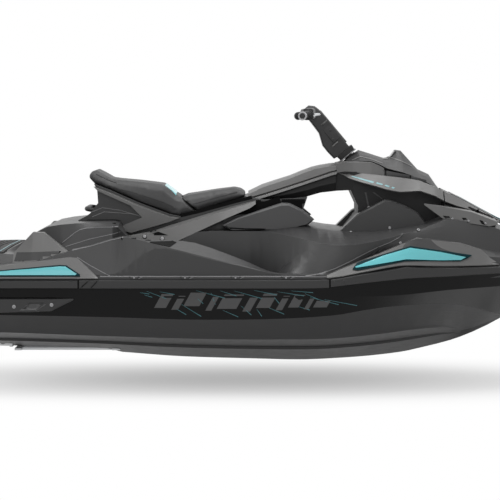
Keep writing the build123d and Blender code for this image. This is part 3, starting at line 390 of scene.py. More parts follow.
def bolted(name, spots, finish="bolt_grey", body="hull", radius=0.0060, height=0.004, both=True):
    """A row of bolts on dark washers, each standing on its (place, normal)."""
    places = [standing(*spot) for spot in spots]
    wider, washer_thick, washer_edge = 1.35, 0.002, 0.0005
    washer = fresh("washer", bpy.ops.mesh.primitive_cylinder_add, vertices=24, radius=radius * wider,
                   depth=washer_thick)
    rounded(washer, washer_edge)
    dressed(repeated(name + "_washers", washer, places), "trim_black", body, both=both)
    return dressed(repeated(name, bolt(radius, height), places), "steel", body, finish=finish, both=both)


# for each look at the craft: the two axes of a sheet, where it starts, its turn and the way it faces
looks = {"side": ((0, 2), side_start, (math.pi / 2, 0, 0), (0, -1, 0)),
         "top": ((0, 1), top_start, (0, 0, 0), (0, 0, 1))}


def sheet_cut(name, outline, look="side", cell=0.012, margin=0.002, tight=0.00001):
    """A flat grid cut along a convex outline, out at the side of the craft or above it."""
    (across, along), start, turn, _ = looks[look]
    low = [min(point[k] for point in outline) for k in (0, 1)]
    high = [max(point[k] for point in outline) for k in (0, 1)]
    middle = [(a + b) / 2 for a, b in zip(low, high)]
    span = [b - a + margin for a, b in zip(low, high)]
    place = [start] * 3
    place[across], place[along] = middle
    piece = fresh(name, bpy.ops.mesh.primitive_grid_add, stretch=(*span, 1), size=1, location=place,
                  rotation=turn, x_subdivisions=max(1, math.ceil(span[0] / cell)),
                  y_subdivisions=max(1, math.ceil(span[1] / cell)))
    with editing(piece):
        for (a0, b0), (a1, b1) in zip(outline, outline[1:] + outline[:1]):
            edge, outward = [0, 0, 0], [0, 0, 0]
            edge[across], edge[along] = a0, b0
            outward[across], outward[along] = b1 - b0, a0 - a1
            if (middle[0] - a0) * outward[across] + (middle[1] - b0) * outward[along] > 0:
                outward = [-part for part in outward]
            bpy.ops.mesh.select_all(action="SELECT")
            bpy.ops.mesh.bisect(plane_co=edge, plane_no=Vector(outward).normalized(), threshold=tight,
                                clear_outer=True)
    return piece


def band(path, width, sharpest=0.4):
    """Mitred four-sided outlines of even or tapering width along a path."""
    widths = width if isinstance(width, (list, tuple)) else [width] * len(path)
    points = [Vector(point) for point in path]
    runs = [(b - a).normalized() for a, b in zip(points, points[1:])]
    rails = []
    for i, point in enumerate(points):
        before, after = runs[max(0, i - 1)], runs[min(len(runs) - 1, i)]
        normal = Vector((-before.y - after.y, before.x + after.x)).normalized()
        reach = widths[i] / 2 / max(sharpest, normal.dot(Vector((-before.y, before.x))))
        rails.append((tuple(point + normal * reach), tuple(point - normal * reach)))
    return [[a[0], b[0], b[1], a[1]] for a, b in zip(rails, rails[1:])]


def loose_skin(*names):
    """One loose copy of some solid pieces, for sheets to be laid on."""
    return united("loose_skin", [plain_copy("loose_skin", name) for name in names])


def laid(name, outlines, target, thick, look="side", sink=0.0006, edge=0.0, cell=0.012, jump=0.06,
         join=0.0002):
    """Sheets cut to outlines, laid on a piece's skin, cut away at jumps in depth and thickened outwards."""
    sheets, loose = [], None
    if isinstance(target, tuple):
        target = loose = loose_skin(*target)
    axes, start, _, facing = looks[look]
    axis = 3 - sum(axes)
    wrap = {"wrap_method": "PROJECT", "target": target, "use_negative_direction": look == "top",
            "use_positive_direction": look != "top", "offset": -sink, "use_project_" + "xyz"[axis]: True}

    def missed(corner, near=0.0001):
        return abs(corner.co[axis] - start) < near

    def torn(face):
        depths = [corner.co[axis] for corner in face.verts]
        return max(depths) - min(depths) > jump

    for outline in outlines:
        sheet = sheet_cut(name, [tuple(point) for point in outline], look, cell)
        applied(sheet, ("SHRINKWRAP", wrap))
        with editing(sheet, "VERT"):
            choose(sheet, "verts", missed)
            bpy.ops.mesh.delete(type="VERT")
            bpy.ops.mesh.select_mode(type="FACE")
            choose(sheet, "faces", torn)
            bpy.ops.mesh.delete(type="FACE")
        sheets.append(sheet)
    if loose:
        bpy.data.objects.remove(loose)
    piece = united(name, sheets)
    with editing(piece, "VERT"):
        bpy.ops.mesh.remove_doubles(threshold=join)
        bpy.ops.mesh.normals_make_consistent(inside=False)
    if sum(face.normal.dot(Vector(facing)) * face.area for face in piece.data.polygons) < 0:
        piece.data.flip_normals()
    applied(piece, ("SOLIDIFY", {"thickness": thick + sink, "offset": 1.0, "use_even_offset": True}))
    if edge:
        rounded(piece, edge, turn=50)
    return piece


def plated(name, outlines, out, thick, edge=0.0):
    """Flat plates cut to outlines, standing at a distance out from the middle plane."""
    sheets = [sheet_cut(name, outline, cell=coarse) for outline in outlines]
    piece = united(name, sheets)
    piece.data.transform(Matrix.Translation((0, -side_start - out, 0)))
    if sum(face.normal.y for face in piece.data.polygons) > 0:
        piece.data.flip_normals()
    applied(piece, ("SOLIDIFY", {"thickness": thick, "offset": 1.0}))
    if edge:
        rounded(piece, edge)
    return piece


def lines(name, paths, width, target, thick, **how):
    """One piece from a band along each path."""
    return united(name, [laid(name + "_line", band(path, width), target, thick, **how) for path in paths])


def pale(piece, slot="frame_grey"):
    """A painted highlight along a lit edge or crease, on both sides of the hull."""
    return dressed(piece, slot, both=True, finish="pale_edge")


def dark(piece, slot="trim_black", body="hull"):
    """A near-black sheet on both sides of the craft, for dark joints and for painted shade in gaps, recesses
    and under edges.
    """
    return dressed(piece, slot, body, both=True, finish="gap_black")


# ------------------------------------------------------------------ rails, bolts and deck seams

deck_skin = skin_tree("deck")
# painted highlights along the lit top edges of the deck flange and the rub rail
edge_line = [(-0.655, 0.1880), (0.345, 0.1880)]
pale(laid("flange_edge_highlight", band(edge_line, line_wide), nodes["deck"], 0.0020, edge=0.0008))
rail_line = [(-0.650, 0.1778), (0.335, 0.1782)]
pale(laid("rail_top_highlight", band(rail_line, 0.0036), nodes["deck"], skin_plain))
flange_bolt_x, flange_bolt_z = (-0.506, -0.284, -0.063, 0.157), 0.1835
bolted("flange_bolts", [from_side(deck_skin, x, flange_bolt_z) for x in flange_bolt_x], radius=0.0042,
       height=0.003)
# beside each flange bolt: black sheets painted as the shade on the notch faces, and pale sheets painted as
# the highlight on the ramps
flange_low, flange_high, notch_wide = 0.1802, 0.1885, 0.009
notches = [[(x, flange_high), (x + notch_wide, flange_high), (x + notch_wide + slant, flange_low),
            (x + slant, flange_low)]
           for bolt_x in flange_bolt_x for x, slant in ((bolt_x - 0.024, 0.006), (bolt_x + 0.016, -0.004))]
dressed(laid("flange_notch_shade", notches, nodes["deck"], 0.0026), "trim_black", both=True)
ramps = [[(x + 0.017, flange_low), (x + 0.023, flange_low), (x + 0.044, flange_high),
          (x + 0.036, flange_high)] for x in flange_bolt_x]
pale(laid("flange_ramp_highlights", ramps, nodes["deck"], 0.0030))

# the front seam: a painted highlight along its upper edge, and a painted shadow just below it
front_seam = [(0.242, 0.1895), (0.317, 0.199), (0.374, 0.219), (0.440, 0.249), (0.506, 0.283), (0.563, 0.311),
              (0.619, 0.332), (0.658, 0.352), (0.695, 0.381), (0.733, 0.411), (0.762, 0.425)]
pale(laid("front_seam", band(front_seam, line_fine), nodes["deck"], skin_thin))
shade_line = [(x + 0.004, z - 0.0035) for x, z in front_seam]
dressed(laid("front_seam_shadow", band(shade_line, line_plain), nodes["deck"], 0.0006), "trim_black",
        both=True)
cowl_skin = skin_tree("deck", "leg_cowls")
front_bolt_spots = ((0.456, 0.365), (0.633, 0.382), (0.749, 0.382), (0.665, 0.328))
bolted("front_bolts", [from_side(cowl_skin, *spot) for spot in front_bolt_spots], radius=0.0068)
slit_low, slit_high, slit_pitch = 0.271, 0.312, 0.015
slits = [[(x, slit_low), (x + 0.048, slit_high), (x + 0.055, slit_high), (x + 0.008, slit_low)]
         for x in (0.516 + slit_pitch * step for step in range(3))]
dressed(laid("deck_slits", slits, nodes["deck"], skin_plain, edge=0.0004), "trim_black", both=True)

# painted highlights along the creases of the rear deck
rear_crease_highlights = [
    [(-0.839, 0.323), (-0.782, 0.368), (-0.760, 0.381), (-0.732, 0.388), (-0.669, 0.393), (-0.592, 0.393)],
    [(-0.822, 0.307), (-0.714, 0.341), (-0.647, 0.355), (-0.583, 0.370)],
    [(-0.804, 0.293), (-0.703, 0.317), (-0.615, 0.343), (-0.556, 0.357)],
    [(-0.758, 0.270), (-0.700, 0.235), (-0.613, 0.1900)]]
pale(lines("rear_crease_highlights", rear_crease_highlights, 0.0028, nodes["deck"], skin_thin), "deck")

# ------------------------------------------------------------------ side frames and pedestal

# a black sheet painted as the shade in the recess of the side and tail frames
foot_recess = [
    [(-0.556, 0.349), (-0.483, 0.345), (-0.438, 0.335), (-0.432, 0.370), (-0.480, 0.372), (-0.524, 0.362)],
    [(-0.438, 0.335), (-0.394, 0.325), (-0.350, 0.316), (-0.324, 0.332), (-0.408, 0.362), (-0.432, 0.370)]]
dark(laid("foot_recess", foot_recess, ("side_frames", "tail_frames", "deck"), skin_plain))
frame_skin, inside_tub = skin_tree("side_frames", "tail_frames", "pedestal"), -0.42
recess_bolt_spots = ((-0.478, 0.343), (-0.398, 0.334))
bolted("foot_recess_bolts", [from_side(frame_skin, *spot, start=inside_tub) for spot in recess_bolt_spots],
       radius=0.0080, height=0.005)
gusset = [(-0.250, 0.355), (-0.183, 0.388), (-0.128, 0.409), (-0.104, 0.400), (-0.104, 0.352),
          (-0.250, 0.340)]
gusset_out, gap_out = 0.179, 0.180              # distances out from the middle plane
dressed(plated("flank_gussets", [gusset], gusset_out, 0.004, 0.0010), "deck", both=True)
# black plates painted as the shade in the gaps between the side frames, the seat and the pedestal
frame_gaps = [([(-0.300, 0.338), (-0.247, 0.366), (-0.183, 0.397), (-0.119, 0.429), (-0.046, 0.451),
                (0.027, 0.475), (0.137, 0.511)], 0.022),
              ([(-0.318, 0.434), (-0.228, 0.455), (-0.137, 0.480), (-0.064, 0.500), (0.009, 0.518)], 0.016)]
frame_gap_plates = [plated("frame_gap", band(line, wide), gap_out, 0.0015) for line, wide in frame_gaps]
dark(united("frame_gaps", frame_gap_plates))
# a black band painted as the shadow under the knee pad's lower edge
knee_line = [(-0.120, 0.400), (-0.096, 0.384), (-0.023, 0.3795), (0.060, 0.3785), (0.115, 0.375)]
dark(laid("knee_pad_shadow_line", band(knee_line, 0.0060), nodes["knee_pads"], skin_plain))

# painted highlights along the folds of the pedestal
pedestal_fold_highlights = [
    [(-0.722, 0.428), (-0.667, 0.451), (-0.546, 0.443), (-0.500, 0.430)],
    [(-0.735, 0.446), (-0.674, 0.470), (-0.591, 0.458), (-0.500, 0.432)]]
pale(lines("pedestal_fold_highlights", pedestal_fold_highlights, line_fine, nodes["pedestal"], 0.0020, edge=0.0007), "deck")
pedestal_foot = [(-0.745, 0.4135), (-0.620, 0.415), (-0.592, 0.412)]
dark(laid("pedestal_seam", band(pedestal_foot, line_fine), nodes["pedestal"], skin_thin))
deck_line = [(-0.622, 0.411), (-0.597, 0.405), (-0.578, 0.377), (-0.560, 0.346)]
dark(laid("deck_seam", band(deck_line, 0.0050), ("deck", "pedestal"), skin_thin))
# a black patch painted as the shade on the pedestal under the spine beam
spine_shade = [(-0.115, 0.437), (0.030, 0.505), (0.262, 0.519), (0.297, 0.470), (0.245, 0.450)]
dark(laid("pedestal_shade_patch", [spine_shade], nodes["pedestal"], skin_plain), "duct_black")

# ------------------------------------------------------------------ hull sides and sponsons

scratches = [
    [(-0.462, 0.108), (-0.428, 0.098)], [(-0.452, 0.124), (-0.352, 0.086)],
    [(-0.300, 0.066), (-0.214, 0.012)],
    [(-0.236, 0.127), (-0.110, 0.094)], [(-0.170, 0.118), (-0.152, 0.066)], [(-0.070, 0.126), (0.060, 0.090)],
    [(0.018, 0.128), (0.118, 0.108)], [(0.060, 0.060), (0.150, 0.022)], [(0.120, 0.122), (0.236, 0.104)],
    [(0.205, 0.058), (0.262, 0.040)], [(0.240, 0.114), (0.300, 0.088)], [(0.262, 0.098), (0.388, 0.064)],
    [(0.326, 0.088), (0.470, 0.058)], [(-0.480, 0.118), (-0.440, 0.112)], [(-0.395, 0.122), (-0.330, 0.110)],
    [(-0.250, 0.110), (-0.205, 0.070)], [(-0.130, 0.126), (-0.060, 0.104)], [(0.090, 0.118), (0.128, 0.070)],
    [(0.180, 0.126), (0.276, 0.118)], [(-0.330, 0.050), (-0.280, 0.020)], [(-0.040, 0.060), (0.006, 0.018)],
    [(-0.120, 0.040), (-0.052, 0.010)], [(0.030, 0.044), (0.052, 0.012)]]
scratch_outlines = [band(line, [0.0010, 0.0030])[0] for line in scratches]
dressed(laid("hull_scratches", scratch_outlines, nodes["hull_topsides"], film, sink=film_sink, cell=0.03),
        "teal", both=True, finish="teal_dim")
slash_lean, slash_rows = 0.55, (
    (-0.420, 0.050, 0.112, 0.052), (-0.345, 0.042, 0.104, 0.030), (-0.292, 0.058, 0.118, 0.070),
    (-0.196, 0.038, 0.100, 0.026), (-0.146, 0.046, 0.110, 0.086), (-0.034, 0.034, 0.096, 0.034),
    (0.026, 0.050, 0.114, 0.060), (0.112, 0.040, 0.104, 0.028), (0.166, 0.052, 0.108, 0.046),
    (0.236, 0.044, 0.092, 0.020), (0.276, 0.052, 0.082, 0.060))
slashes = []
for start, low, high, wide in slash_rows:
    lean = slash_lean * (high - low)
    slashes.append([(start, low), (start + wide, low), (start + wide + lean, high), (start + lean, high)])
dressed(laid("hull_slashes", slashes, nodes["hull_topsides"], film, sink=film_sink, cell=0.03), "hull_gloss",
        both=True, finish="hull_grey")

bow_panels = [[(0.458, 0.230), (0.588, 0.277), (0.705, 0.3085), (0.686, 0.2605), (0.466, 0.226)],
              [(0.705, 0.3085), (0.840, 0.288), (0.958, 0.263), (0.934, 0.2515), (0.840, 0.2525),
               (0.686, 0.2605)]]
stern_panels = [[(-1.520, 0.2015), (-1.092, 0.211), (-1.092, 0.1955), (-1.520, 0.1955)],
                [(-1.092, 0.211), (-0.829, 0.232), (-0.806, 0.231), (-0.756, 0.201), (-0.762, 0.1955),
                 (-1.092, 0.1955)]]
for label, panels in (("bow", bow_panels), ("stern", stern_panels)):
    bed = nodes[label + "_inserts"]
    dressed(laid(label + "_insert_panels", panels, bed, 0.0016), "teal", both=True)
    bed.data.materials[0] = finishes["teal_dark"]
# a darker film painted as the shade on the down-facing lower band of the rear pods
pod_low_band = [(-1.030, 0.287), (-0.829, 0.294), (-0.787, 0.274), (-0.836, 0.263), (-1.038, 0.250)]
dressed(laid("pod_low_band_shade", [pod_low_band], nodes["rear_pods"], skin_thin), "dash", both=True)

window_low, window_high = 0.0400, 0.0680
sponson_windows = [[(x, window_high), (x + 0.084, window_high), (x + 0.040, window_low),
                    (x - 0.036, window_low)] for x in (-1.420, -1.196, -0.972)]
dressed(laid("sponson_windows", sponson_windows, nodes["sponsons"], skin_thin, edge=0.0003), "frame_grey",
        both=True, finish="hull_grey")
sponson_lines = band([(-1.560, 0.0345), (-0.955, 0.0345), (-0.862, 0.0450), (-0.780, 0.0840)], line_plain)
dressed(laid("sponson_lines", sponson_lines, nodes["sponsons"], skin_thin), "trim_black", both=True)
sponson_skin = skin_tree("sponsons")
sponson_bolt_spots = ((-1.478, 0.056), (-1.254, 0.056), (-1.030, 0.058), (-0.866, 0.066))
bolted("sponson_bolts", [from_side(sponson_skin, *spot) for spot in sponson_bolt_spots], radius=0.0080)

# ------------------------------------------------------------------ hood side, wings and dash

stripe = [[(0.462, 0.612), (0.470, 0.6145), (0.565, 0.590), (0.558, 0.584)],
          [(0.570, 0.583), (0.577, 0.588), (0.604, 0.580), (0.597, 0.575)],
          [(0.609, 0.572), (0.616, 0.577), (0.634, 0.571), (0.627, 0.566)],
          [(0.639, 0.563), (0.646, 0.568), (0.657, 0.564), (0.650, 0.559)]]
dressed(laid("blade_stripe", stripe, nodes["hood_blades"], 0.0006, sink=film_sink), "teal", both=True,
        finish="teal_pale")
wing_skin, wing_bolt_spots = skin_tree("side_wings"), ((0.912, 0.426), (0.986, 0.416), (1.064, 0.403))
bolted("wing_bolts", [from_side(wing_skin, *spot) for spot in wing_bolt_spots], radius=0.0052)
teeth = [[(0.868, 0.440), (0.898, 0.437), (0.908, 0.421), (0.886, 0.424)],
         [(0.955, 0.430), (0.974, 0.429), (0.983, 0.412), (0.968, 0.413)],
         [(1.036, 0.419), (1.052, 0.415), (1.060, 0.398), (1.048, 0.401)]]
dark(laid("wing_notches", teeth, nodes["side_wings"], skin_plain))

# ------------------------------------------------------------------ seats

def stuffed(name, node, shrink=0.0025, cell=0.0065, cap=0.006, stuffing=4.0, last=20):
    """A pad blown up by cloth pressure from a slightly smaller copy of its plain solid."""
    pad = plain_copy(name, node)
    with editing(pad, "VERT"):
        bpy.ops.mesh.remove_doubles(threshold=0.0001)
        bpy.ops.mesh.normals_make_consistent(inside=False)
    applied(pad, ("DISPLACE", {"strength": -shrink, "mid_level": 0.0}),
            ("REMESH", {"mode": "VOXEL", "voxel_size": cell}),
            ("SMOOTH", {"factor": 0.5, "iterations": 1}))
    started = [corner.co.copy() for corner in pad.data.vertices]
    hold(pad)
    cloth = pad.modifiers.new("stuffing", "CLOTH")
    cloth.settings.use_pressure = True
    cloth.settings.uniform_pressure_force = stuffing
    cloth.settings.quality = 4
    cloth.settings.effector_weights.gravity = 0.0
    cloth.collision_settings.use_collision = False
    cloth.point_cache.frame_start, cloth.point_cache.frame_end = 1, last
    for frame_now in range(1, last + 1):
        bpy.context.scene.frame_set(frame_now)
    bpy.ops.object.modifier_apply(modifier=cloth.name)
    for corner, first in zip(pad.data.vertices, started):
        shift = corner.co - first
        if shift.length > cap:
            corner.co = first + shift * (cap / shift.length)
    bpy.context.scene.frame_set(1)
    applied(pad, ("SUBSURF", {"levels": 1, "render_levels": 1}))
    dressed(pad, "seat", smooth=180)
    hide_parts(node)
    return pad


rear_pad, front_pad = stuffed("rear_seat_pad", "seat_rear"), stuffed("front_seat_pad", "seat_front")
rear_paths = [
    [(-0.642, 0.570), (-0.596, 0.554), (-0.550, 0.545), (-0.458, 0.516), (-0.395, 0.494), (-0.352, 0.474)],
    [(-0.705, 0.622), (-0.675, 0.608), (-0.640, 0.592), (-0.611, 0.583)]]
front_paths = [[(-0.262, 0.486), (-0.150, 0.516), (-0.060, 0.538)]]
for name, paths, pad in (("rear_seat_welts", rear_paths, rear_pad),
                         ("front_seat_welts", front_paths, front_pad)):
    welts = lines(name, paths, line_wide, pad, 0.0016, edge=0.0006, sink=0.0012)
    dressed(welts, "seat", both=True, finish="welt")
step_strip = [(-0.392, -0.115), (-0.340, -0.130), (-0.340, 0.130), (-0.392, 0.115)]
dressed(laid("seat_step_strip", [step_strip], rear_pad, skin_plain, look="top"), "teal")

# ------------------------------------------------------------------ mats

mat, (mat_low, mat_high) = nodes["platform_mat"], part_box("platform_mat")
rib_pitch, rib_width, rib_sweep, rib_gap = 0.030, 0.015, 0.030, 0.012
first_rib, last_rib, rib_reach = mat_low.x + 0.035, mat_high.x - 0.050, mat_high.y - 0.045
chevrons, row = [], first_rib
while row < last_rib:
    for turn in (1, -1):
        start, end = (row, turn * rib_gap), (row + rib_sweep, turn * rib_reach)
        chevrons.append([start, (start[0] + rib_width, start[1]), (end[0] + rib_width, end[1]), end])
    row += rib_pitch
dressed(laid("platform_mat_ribs", chevrons, mat, 0.0028, look="top", edge=0.0008, cell=coarse), "mat")
rim = 0.018
rim_low, rim_high = (mat_low.x + rim, mat_low.y + rim), (mat_high.x - rim, mat_high.y - rim)
rim_line = [rim_low, (rim_high[0], rim_low[1]), rim_high, (rim_low[0], rim_high[1]), rim_low]
dressed(laid("platform_mat_line", band(rim_line, 0.006), mat, skin_plain, look="top", cell=coarse), "teal",
        finish="teal_dim")

# ------------------------------------------------------------------ steering column, bar ends and switches

column_lean, column_base = math.radians(40), Vector((0.447, 0, 0.716))
column_up = Vector((-math.sin(column_lean), 0, math.cos(column_lean)))
column_fore = Vector((math.cos(column_lean), 0, math.sin(column_lean)))


def on_column(height, fore=0.0, side=0.0):
    """Matrix that puts a piece made about the origin, +Z up the column and +X forward, on the column."""
    place = column_base + column_up * height + column_fore * fore + Vector((0, side, 0))
    turn = Matrix((column_fore, Vector((0, 1, 0)), column_up)).transposed().to_4x4()
    return Matrix.Translation(place) @ turn


def moved(piece, place):
    piece.data.transform(place)
    return piece


def block(name, size, edge, place):
    """A block with rounded edges, stood at its place."""
    piece = fresh(name, bpy.ops.mesh.primitive_cube_add, stretch=size, size=1)
    return moved(applied(piece, ("BEVEL", {"width": edge, "segments": 3})), place)


# the collar's lower rim carries a painted highlight
dressed(block("collar_lip", (0.091, 0.087, 0.0050), 0.0022, on_column(-0.0115)), "trim_black", "steering",
        finish="pale_edge")
dressed(block("neck_front_cover", (0.006, 0.058, 0.190), 0.0026, on_column(0.135, 0.0335)), "frame_grey",
        "steering")
panel_side, bolt_side, clasp_side = 0.0465, 0.0490, 0.0500      # out from the column's middle
side_panels = [block("neck_side_panel", (0.040, 0.005, 0.110), 0.0020,
                     on_column(0.130, 0.004, turn * panel_side)) for turn in (1, -1)]
dressed(united("neck_side_panels", side_panels), "trim_black", "steering")
neck_bolts = [(on_column(height, fore, turn * bolt_side).translation, Vector((0, turn, 0)))
              for turn in (1, -1) for height, fore in ((0.090, -0.006), (0.130, 0.010), (0.172, 0.002))]
bolted("neck_bolts", neck_bolts, "steel_black", "steering", 0.0055, 0.003, both=False)
clasps = [block("neck_clasp", (0.034, 0.004, 0.007), 0.0015, on_column(height, fore, turn * clasp_side))
          for turn in (1, -1) for height, fore in ((0.067, -0.014), (0.176, 0.012))]
dressed(united("neck_clasps", clasps), "frame_grey", "steering")

bar_tip, bar_bend = Vector((0.236, 0.385, 0.889)), Vector((0.284, 0.150, 0.900))
bar_along = (bar_bend - bar_tip).normalized()


def on_bar(distance):
    """Matrix at a distance in from the port bar tip, +Z towards the middle."""
    turn = bar_along.to_track_quat("Z", "X").to_matrix().to_4x4()
    return Matrix.Translation(bar_tip + bar_along * distance) @ turn


ring = fresh("grip_ring", bpy.ops.mesh.primitive_torus_add, major_radius=0.0172, minor_radius=0.0013,
             major_segments=28, minor_segments=6)
first_ring, ring_pitch, ring_count, flange_at, end_at, core_at = 0.012, 0.0065, 17, 0.124, -0.0135, -0.0140
ring_places = [on_bar(first_ring + ring_pitch * step) for step in range(ring_count)]
dressed(repeated("grip_rings", ring, ring_places), "grip", "steering", both=True)
flange = fresh("grip_flange", bpy.ops.mesh.primitive_cylinder_add, vertices=32, radius=0.0215, depth=0.005)
rounded(flange, 0.0018, segments=3)
dressed(moved(flange, on_bar(flange_at)), "grip", "steering", both=True)
cap_ring = fresh("bar_end_ring", bpy.ops.mesh.primitive_cylinder_add, vertices=32, radius=0.0195, depth=0.010)
with editing(cap_ring):
    choose(cap_ring, "faces", lambda face: face.normal.z < -0.9)
    bpy.ops.mesh.inset(thickness=0.0065)
    bpy.ops.mesh.extrude_region_move(TRANSFORM_OT_translate={"value": (0, 0, 0.006)})
rounded(cap_ring, 0.0010)
dressed(moved(cap_ring, on_bar(end_at)), "grip", "steering", both=True, finish="bar_end")
cap_core = fresh("bar_end_core", bpy.ops.mesh.primitive_cylinder_add, vertices=24, radius=0.0128, depth=0.004)
rounded(cap_core, 0.0008)
dressed(moved(cap_core, on_bar(core_at)), "grip", "steering", both=True)

# ------------------------------------------------------------------ dash, pods and hood

dash_face = [(0.640, -0.060), (0.675, -0.052), (0.675, 0.052), (0.640, 0.060)]
dressed(laid("dash_bezel", [dash_face], nodes["dash_pod"], 0.0030, look="top", edge=0.0010, cell=fine),
        "trim_black")
glass = [(0.645, -0.052), (0.671, -0.045), (0.671, 0.045), (0.645, 0.052)]
dressed(laid("dash_glass", [glass], nodes["dash_pod"], 0.0040, look="top", cell=fine), "hull_gloss",
        finish="display")

pod_skin, (pod_low, pod_high) = skin_tree("switch_pods"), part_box("switch_pods")
button_y, pod_middle, before_bar = 0.022 - pod_high.y, (pod_low.z + pod_high.z) / 2, -0.4
for name, lift, finish in (("stop_button", 0.004, "button_red"), ("start_button", -0.010, "button_green")):
    spot = touch(pod_skin, (before_bar, button_y, pod_middle + lift), (1, 0, 0))
    cap = fresh(name, bpy.ops.mesh.primitive_cylinder_add, vertices=20, radius=0.0055, depth=0.005)
    rounded(cap, 0.0015)
    dressed(moved(cap, standing(*spot)), "trim_black", "steering", finish=finish)

# a black strip painted as the shadow in the gap between the hood's edge and the blades
hood_strip = band([(0.995, 0.474), (1.052, 0.443), (1.102, 0.419), (1.147, 0.397), (1.200, 0.372)],
                  [0.005, 0.018, 0.022, 0.022, 0.012])
dark(laid("hood_edge_shade", hood_strip, ("hood_edges", "hood"), skin_plain, jump=0.15), body="hood")
slot_panels = [[(0.606, 0.642), (0.617, 0.641), (0.617, 0.609), (0.606, 0.611)],
               [(0.622, 0.640), (0.729, 0.619), (0.729, 0.590), (0.622, 0.608)],
               [(0.735, 0.617), (0.806, 0.597), (0.806, 0.584), (0.735, 0.589)]]
slot_out = 0.174
dressed(plated("slot_panels", slot_panels, slot_out, 0.006, 0.0010), "dash", both=True, finish="deck")
# pale lines painted as highlights along the creases of the dash
dash_crease_highlights = [[(0.612, 0.689), (0.657, 0.694), (0.695, 0.681), (0.747, 0.656)],
                [(0.470, 0.684), (0.508, 0.702), (0.560, 0.689), (0.607, 0.671)]]
dressed(lines("dash_crease_highlights", dash_crease_highlights, 0.0035, nodes["dash_pod"], skin_plain, cell=fine), "dash",
        both=True, finish="frame_grey")
panel = [(0.925, -0.105), (1.120, -0.075), (1.120, 0.075), (0.925, 0.105)]
dressed(laid("hood_panel", [panel], nodes["hood"], 0.0025, look="top", edge=0.0010), "deck", "hood")
spear = [(0.960, -0.010), (1.215, -0.004), (1.215, 0.004), (0.960, 0.010)]
dressed(laid("hood_spear", [spear], nodes["hood"], 0.0032, look="top", edge=0.0008), "teal", "hood",
        finish="teal_dim")

# ------------------------------------------------------------------ rail joints, pods and pillar

joint_lines = [[(-0.7010, 0.1735), (-0.7420, 0.1372)], [(-0.662, 0.1735), (-0.694, 0.1400)]]
dark(lines("rail_joint_lines", joint_lines, line_plain, nodes["rub_rails"], skin_plain))
bow_slots = [[(0.360, 0.176), (0.366, 0.178), (0.392, 0.158), (0.388, 0.154)],
             [(0.438, 0.170), (0.470, 0.176), (0.472, 0.173), (0.442, 0.164)]]
dressed(laid("bow_rail_slots", bow_slots, nodes["bow_bumper"], 0.0008), "trim_black", both=True)
bumper_skin = skin_tree("bow_bumper")
bolted("bow_rail_bolts", [from_side(bumper_skin, 0.413, 0.168)], "steel_black", radius=0.0080, height=0.003)
slot_low, slot_high, slot_pitch = 0.2500, 0.2590, 0.016
pod_slots = [[(x, slot_low), (x + 0.010, slot_low), (x + 0.014, slot_high), (x + 0.004, slot_high)]
             for x in (-1.036 + slot_pitch * step for step in range(3))]
dressed(laid("pod_slots", pod_slots, nodes["rear_pods"], skin_thin), "trim_black", both=True)
tower_skin = skin_tree("tower")
pillar_ribs = [[(0.524, 0.540), (0.532, 0.540), (0.548, 0.462), (0.541, 0.462)],
               [(0.560, 0.540), (0.570, 0.540), (0.612, 0.506), (0.606, 0.506)]]
dressed(laid("pillar_ribs", pillar_ribs, nodes["tower"], 0.0040, edge=0.0010), "duct_black", both=True,
        finish="deck")
bolted("pillar_bolts", [from_side(tower_skin, 0.543, 0.472)], radius=0.0060)

# ------------------------------------------------------------------ stern and underside

transom = skin_tree("hull_topsides", "hull_bottom")
plug_out, plug_up, plate_bolt_out = 0.40, 0.030, 0.115
plugs = [standing(*touch(transom, (stern_start, y, plug_up), (1, 0, 0))) for y in (-plug_out, plug_out)]
plug = fresh("drain_plug", bpy.ops.mesh.primitive_cylinder_add, vertices=28, radius=0.021, depth=0.012)
with editing(plug):
    choose(plug, "faces", faces_up)
    bpy.ops.mesh.inset(thickness=0.006, depth=0.0)
    bpy.ops.mesh.extrude_region_move(TRANSFORM_OT_translate={"value": (0, 0, -0.003)})
    bpy.ops.mesh.inset(thickness=0.009)
    bpy.ops.mesh.extrude_region_move(TRANSFORM_OT_translate={"value": (0, 0, 0.006)})
rounded(plug, 0.0010)
dressed(repeated("drain_plugs", plug, plugs), "trim_black")

plate_skin, (plate_low, plate_high) = skin_tree("ride_plate"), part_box("ride_plate")
plate_inset, plate_middle = 0.030, -1.30
plate_spots = [touch(plate_skin, (x, y, below_start), (0, 0, 1))
               for x in (plate_low.x + plate_inset, plate_middle, plate_high.x - plate_inset)
               for y in (-plate_bolt_out, plate_bolt_out)]
bolted("ride_plate_bolts", plate_spots, both=False, radius=0.0080)

# ------------------------------------------------------------------ floor, backdrop, lights and camera

hull_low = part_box("hull_bottom")[0].z
floor_drop = 0.095              # the shadow falls on a floor a little below the keel
floor_size, floor_grey, floor_lift = 60, 0.62, 0.36
fade_squash, fade_start, fade_end = 0.40, 0.20, 1.05    # the fade to white is an oval, long in X
soft_light = 0.24


def seen_rays(tree):
    """One where a ray comes straight, mirrored or through glass from the camera."""
    rays = put(tree, "ShaderNodeLightPath")
    mirrored = calc(tree, "MAXIMUM", rays.outputs["Is Glossy Ray"], rays.outputs["Is Transmission Ray"])
    return calc(tree, "MAXIMUM", rays.outputs["Is Camera Ray"], mirrored)


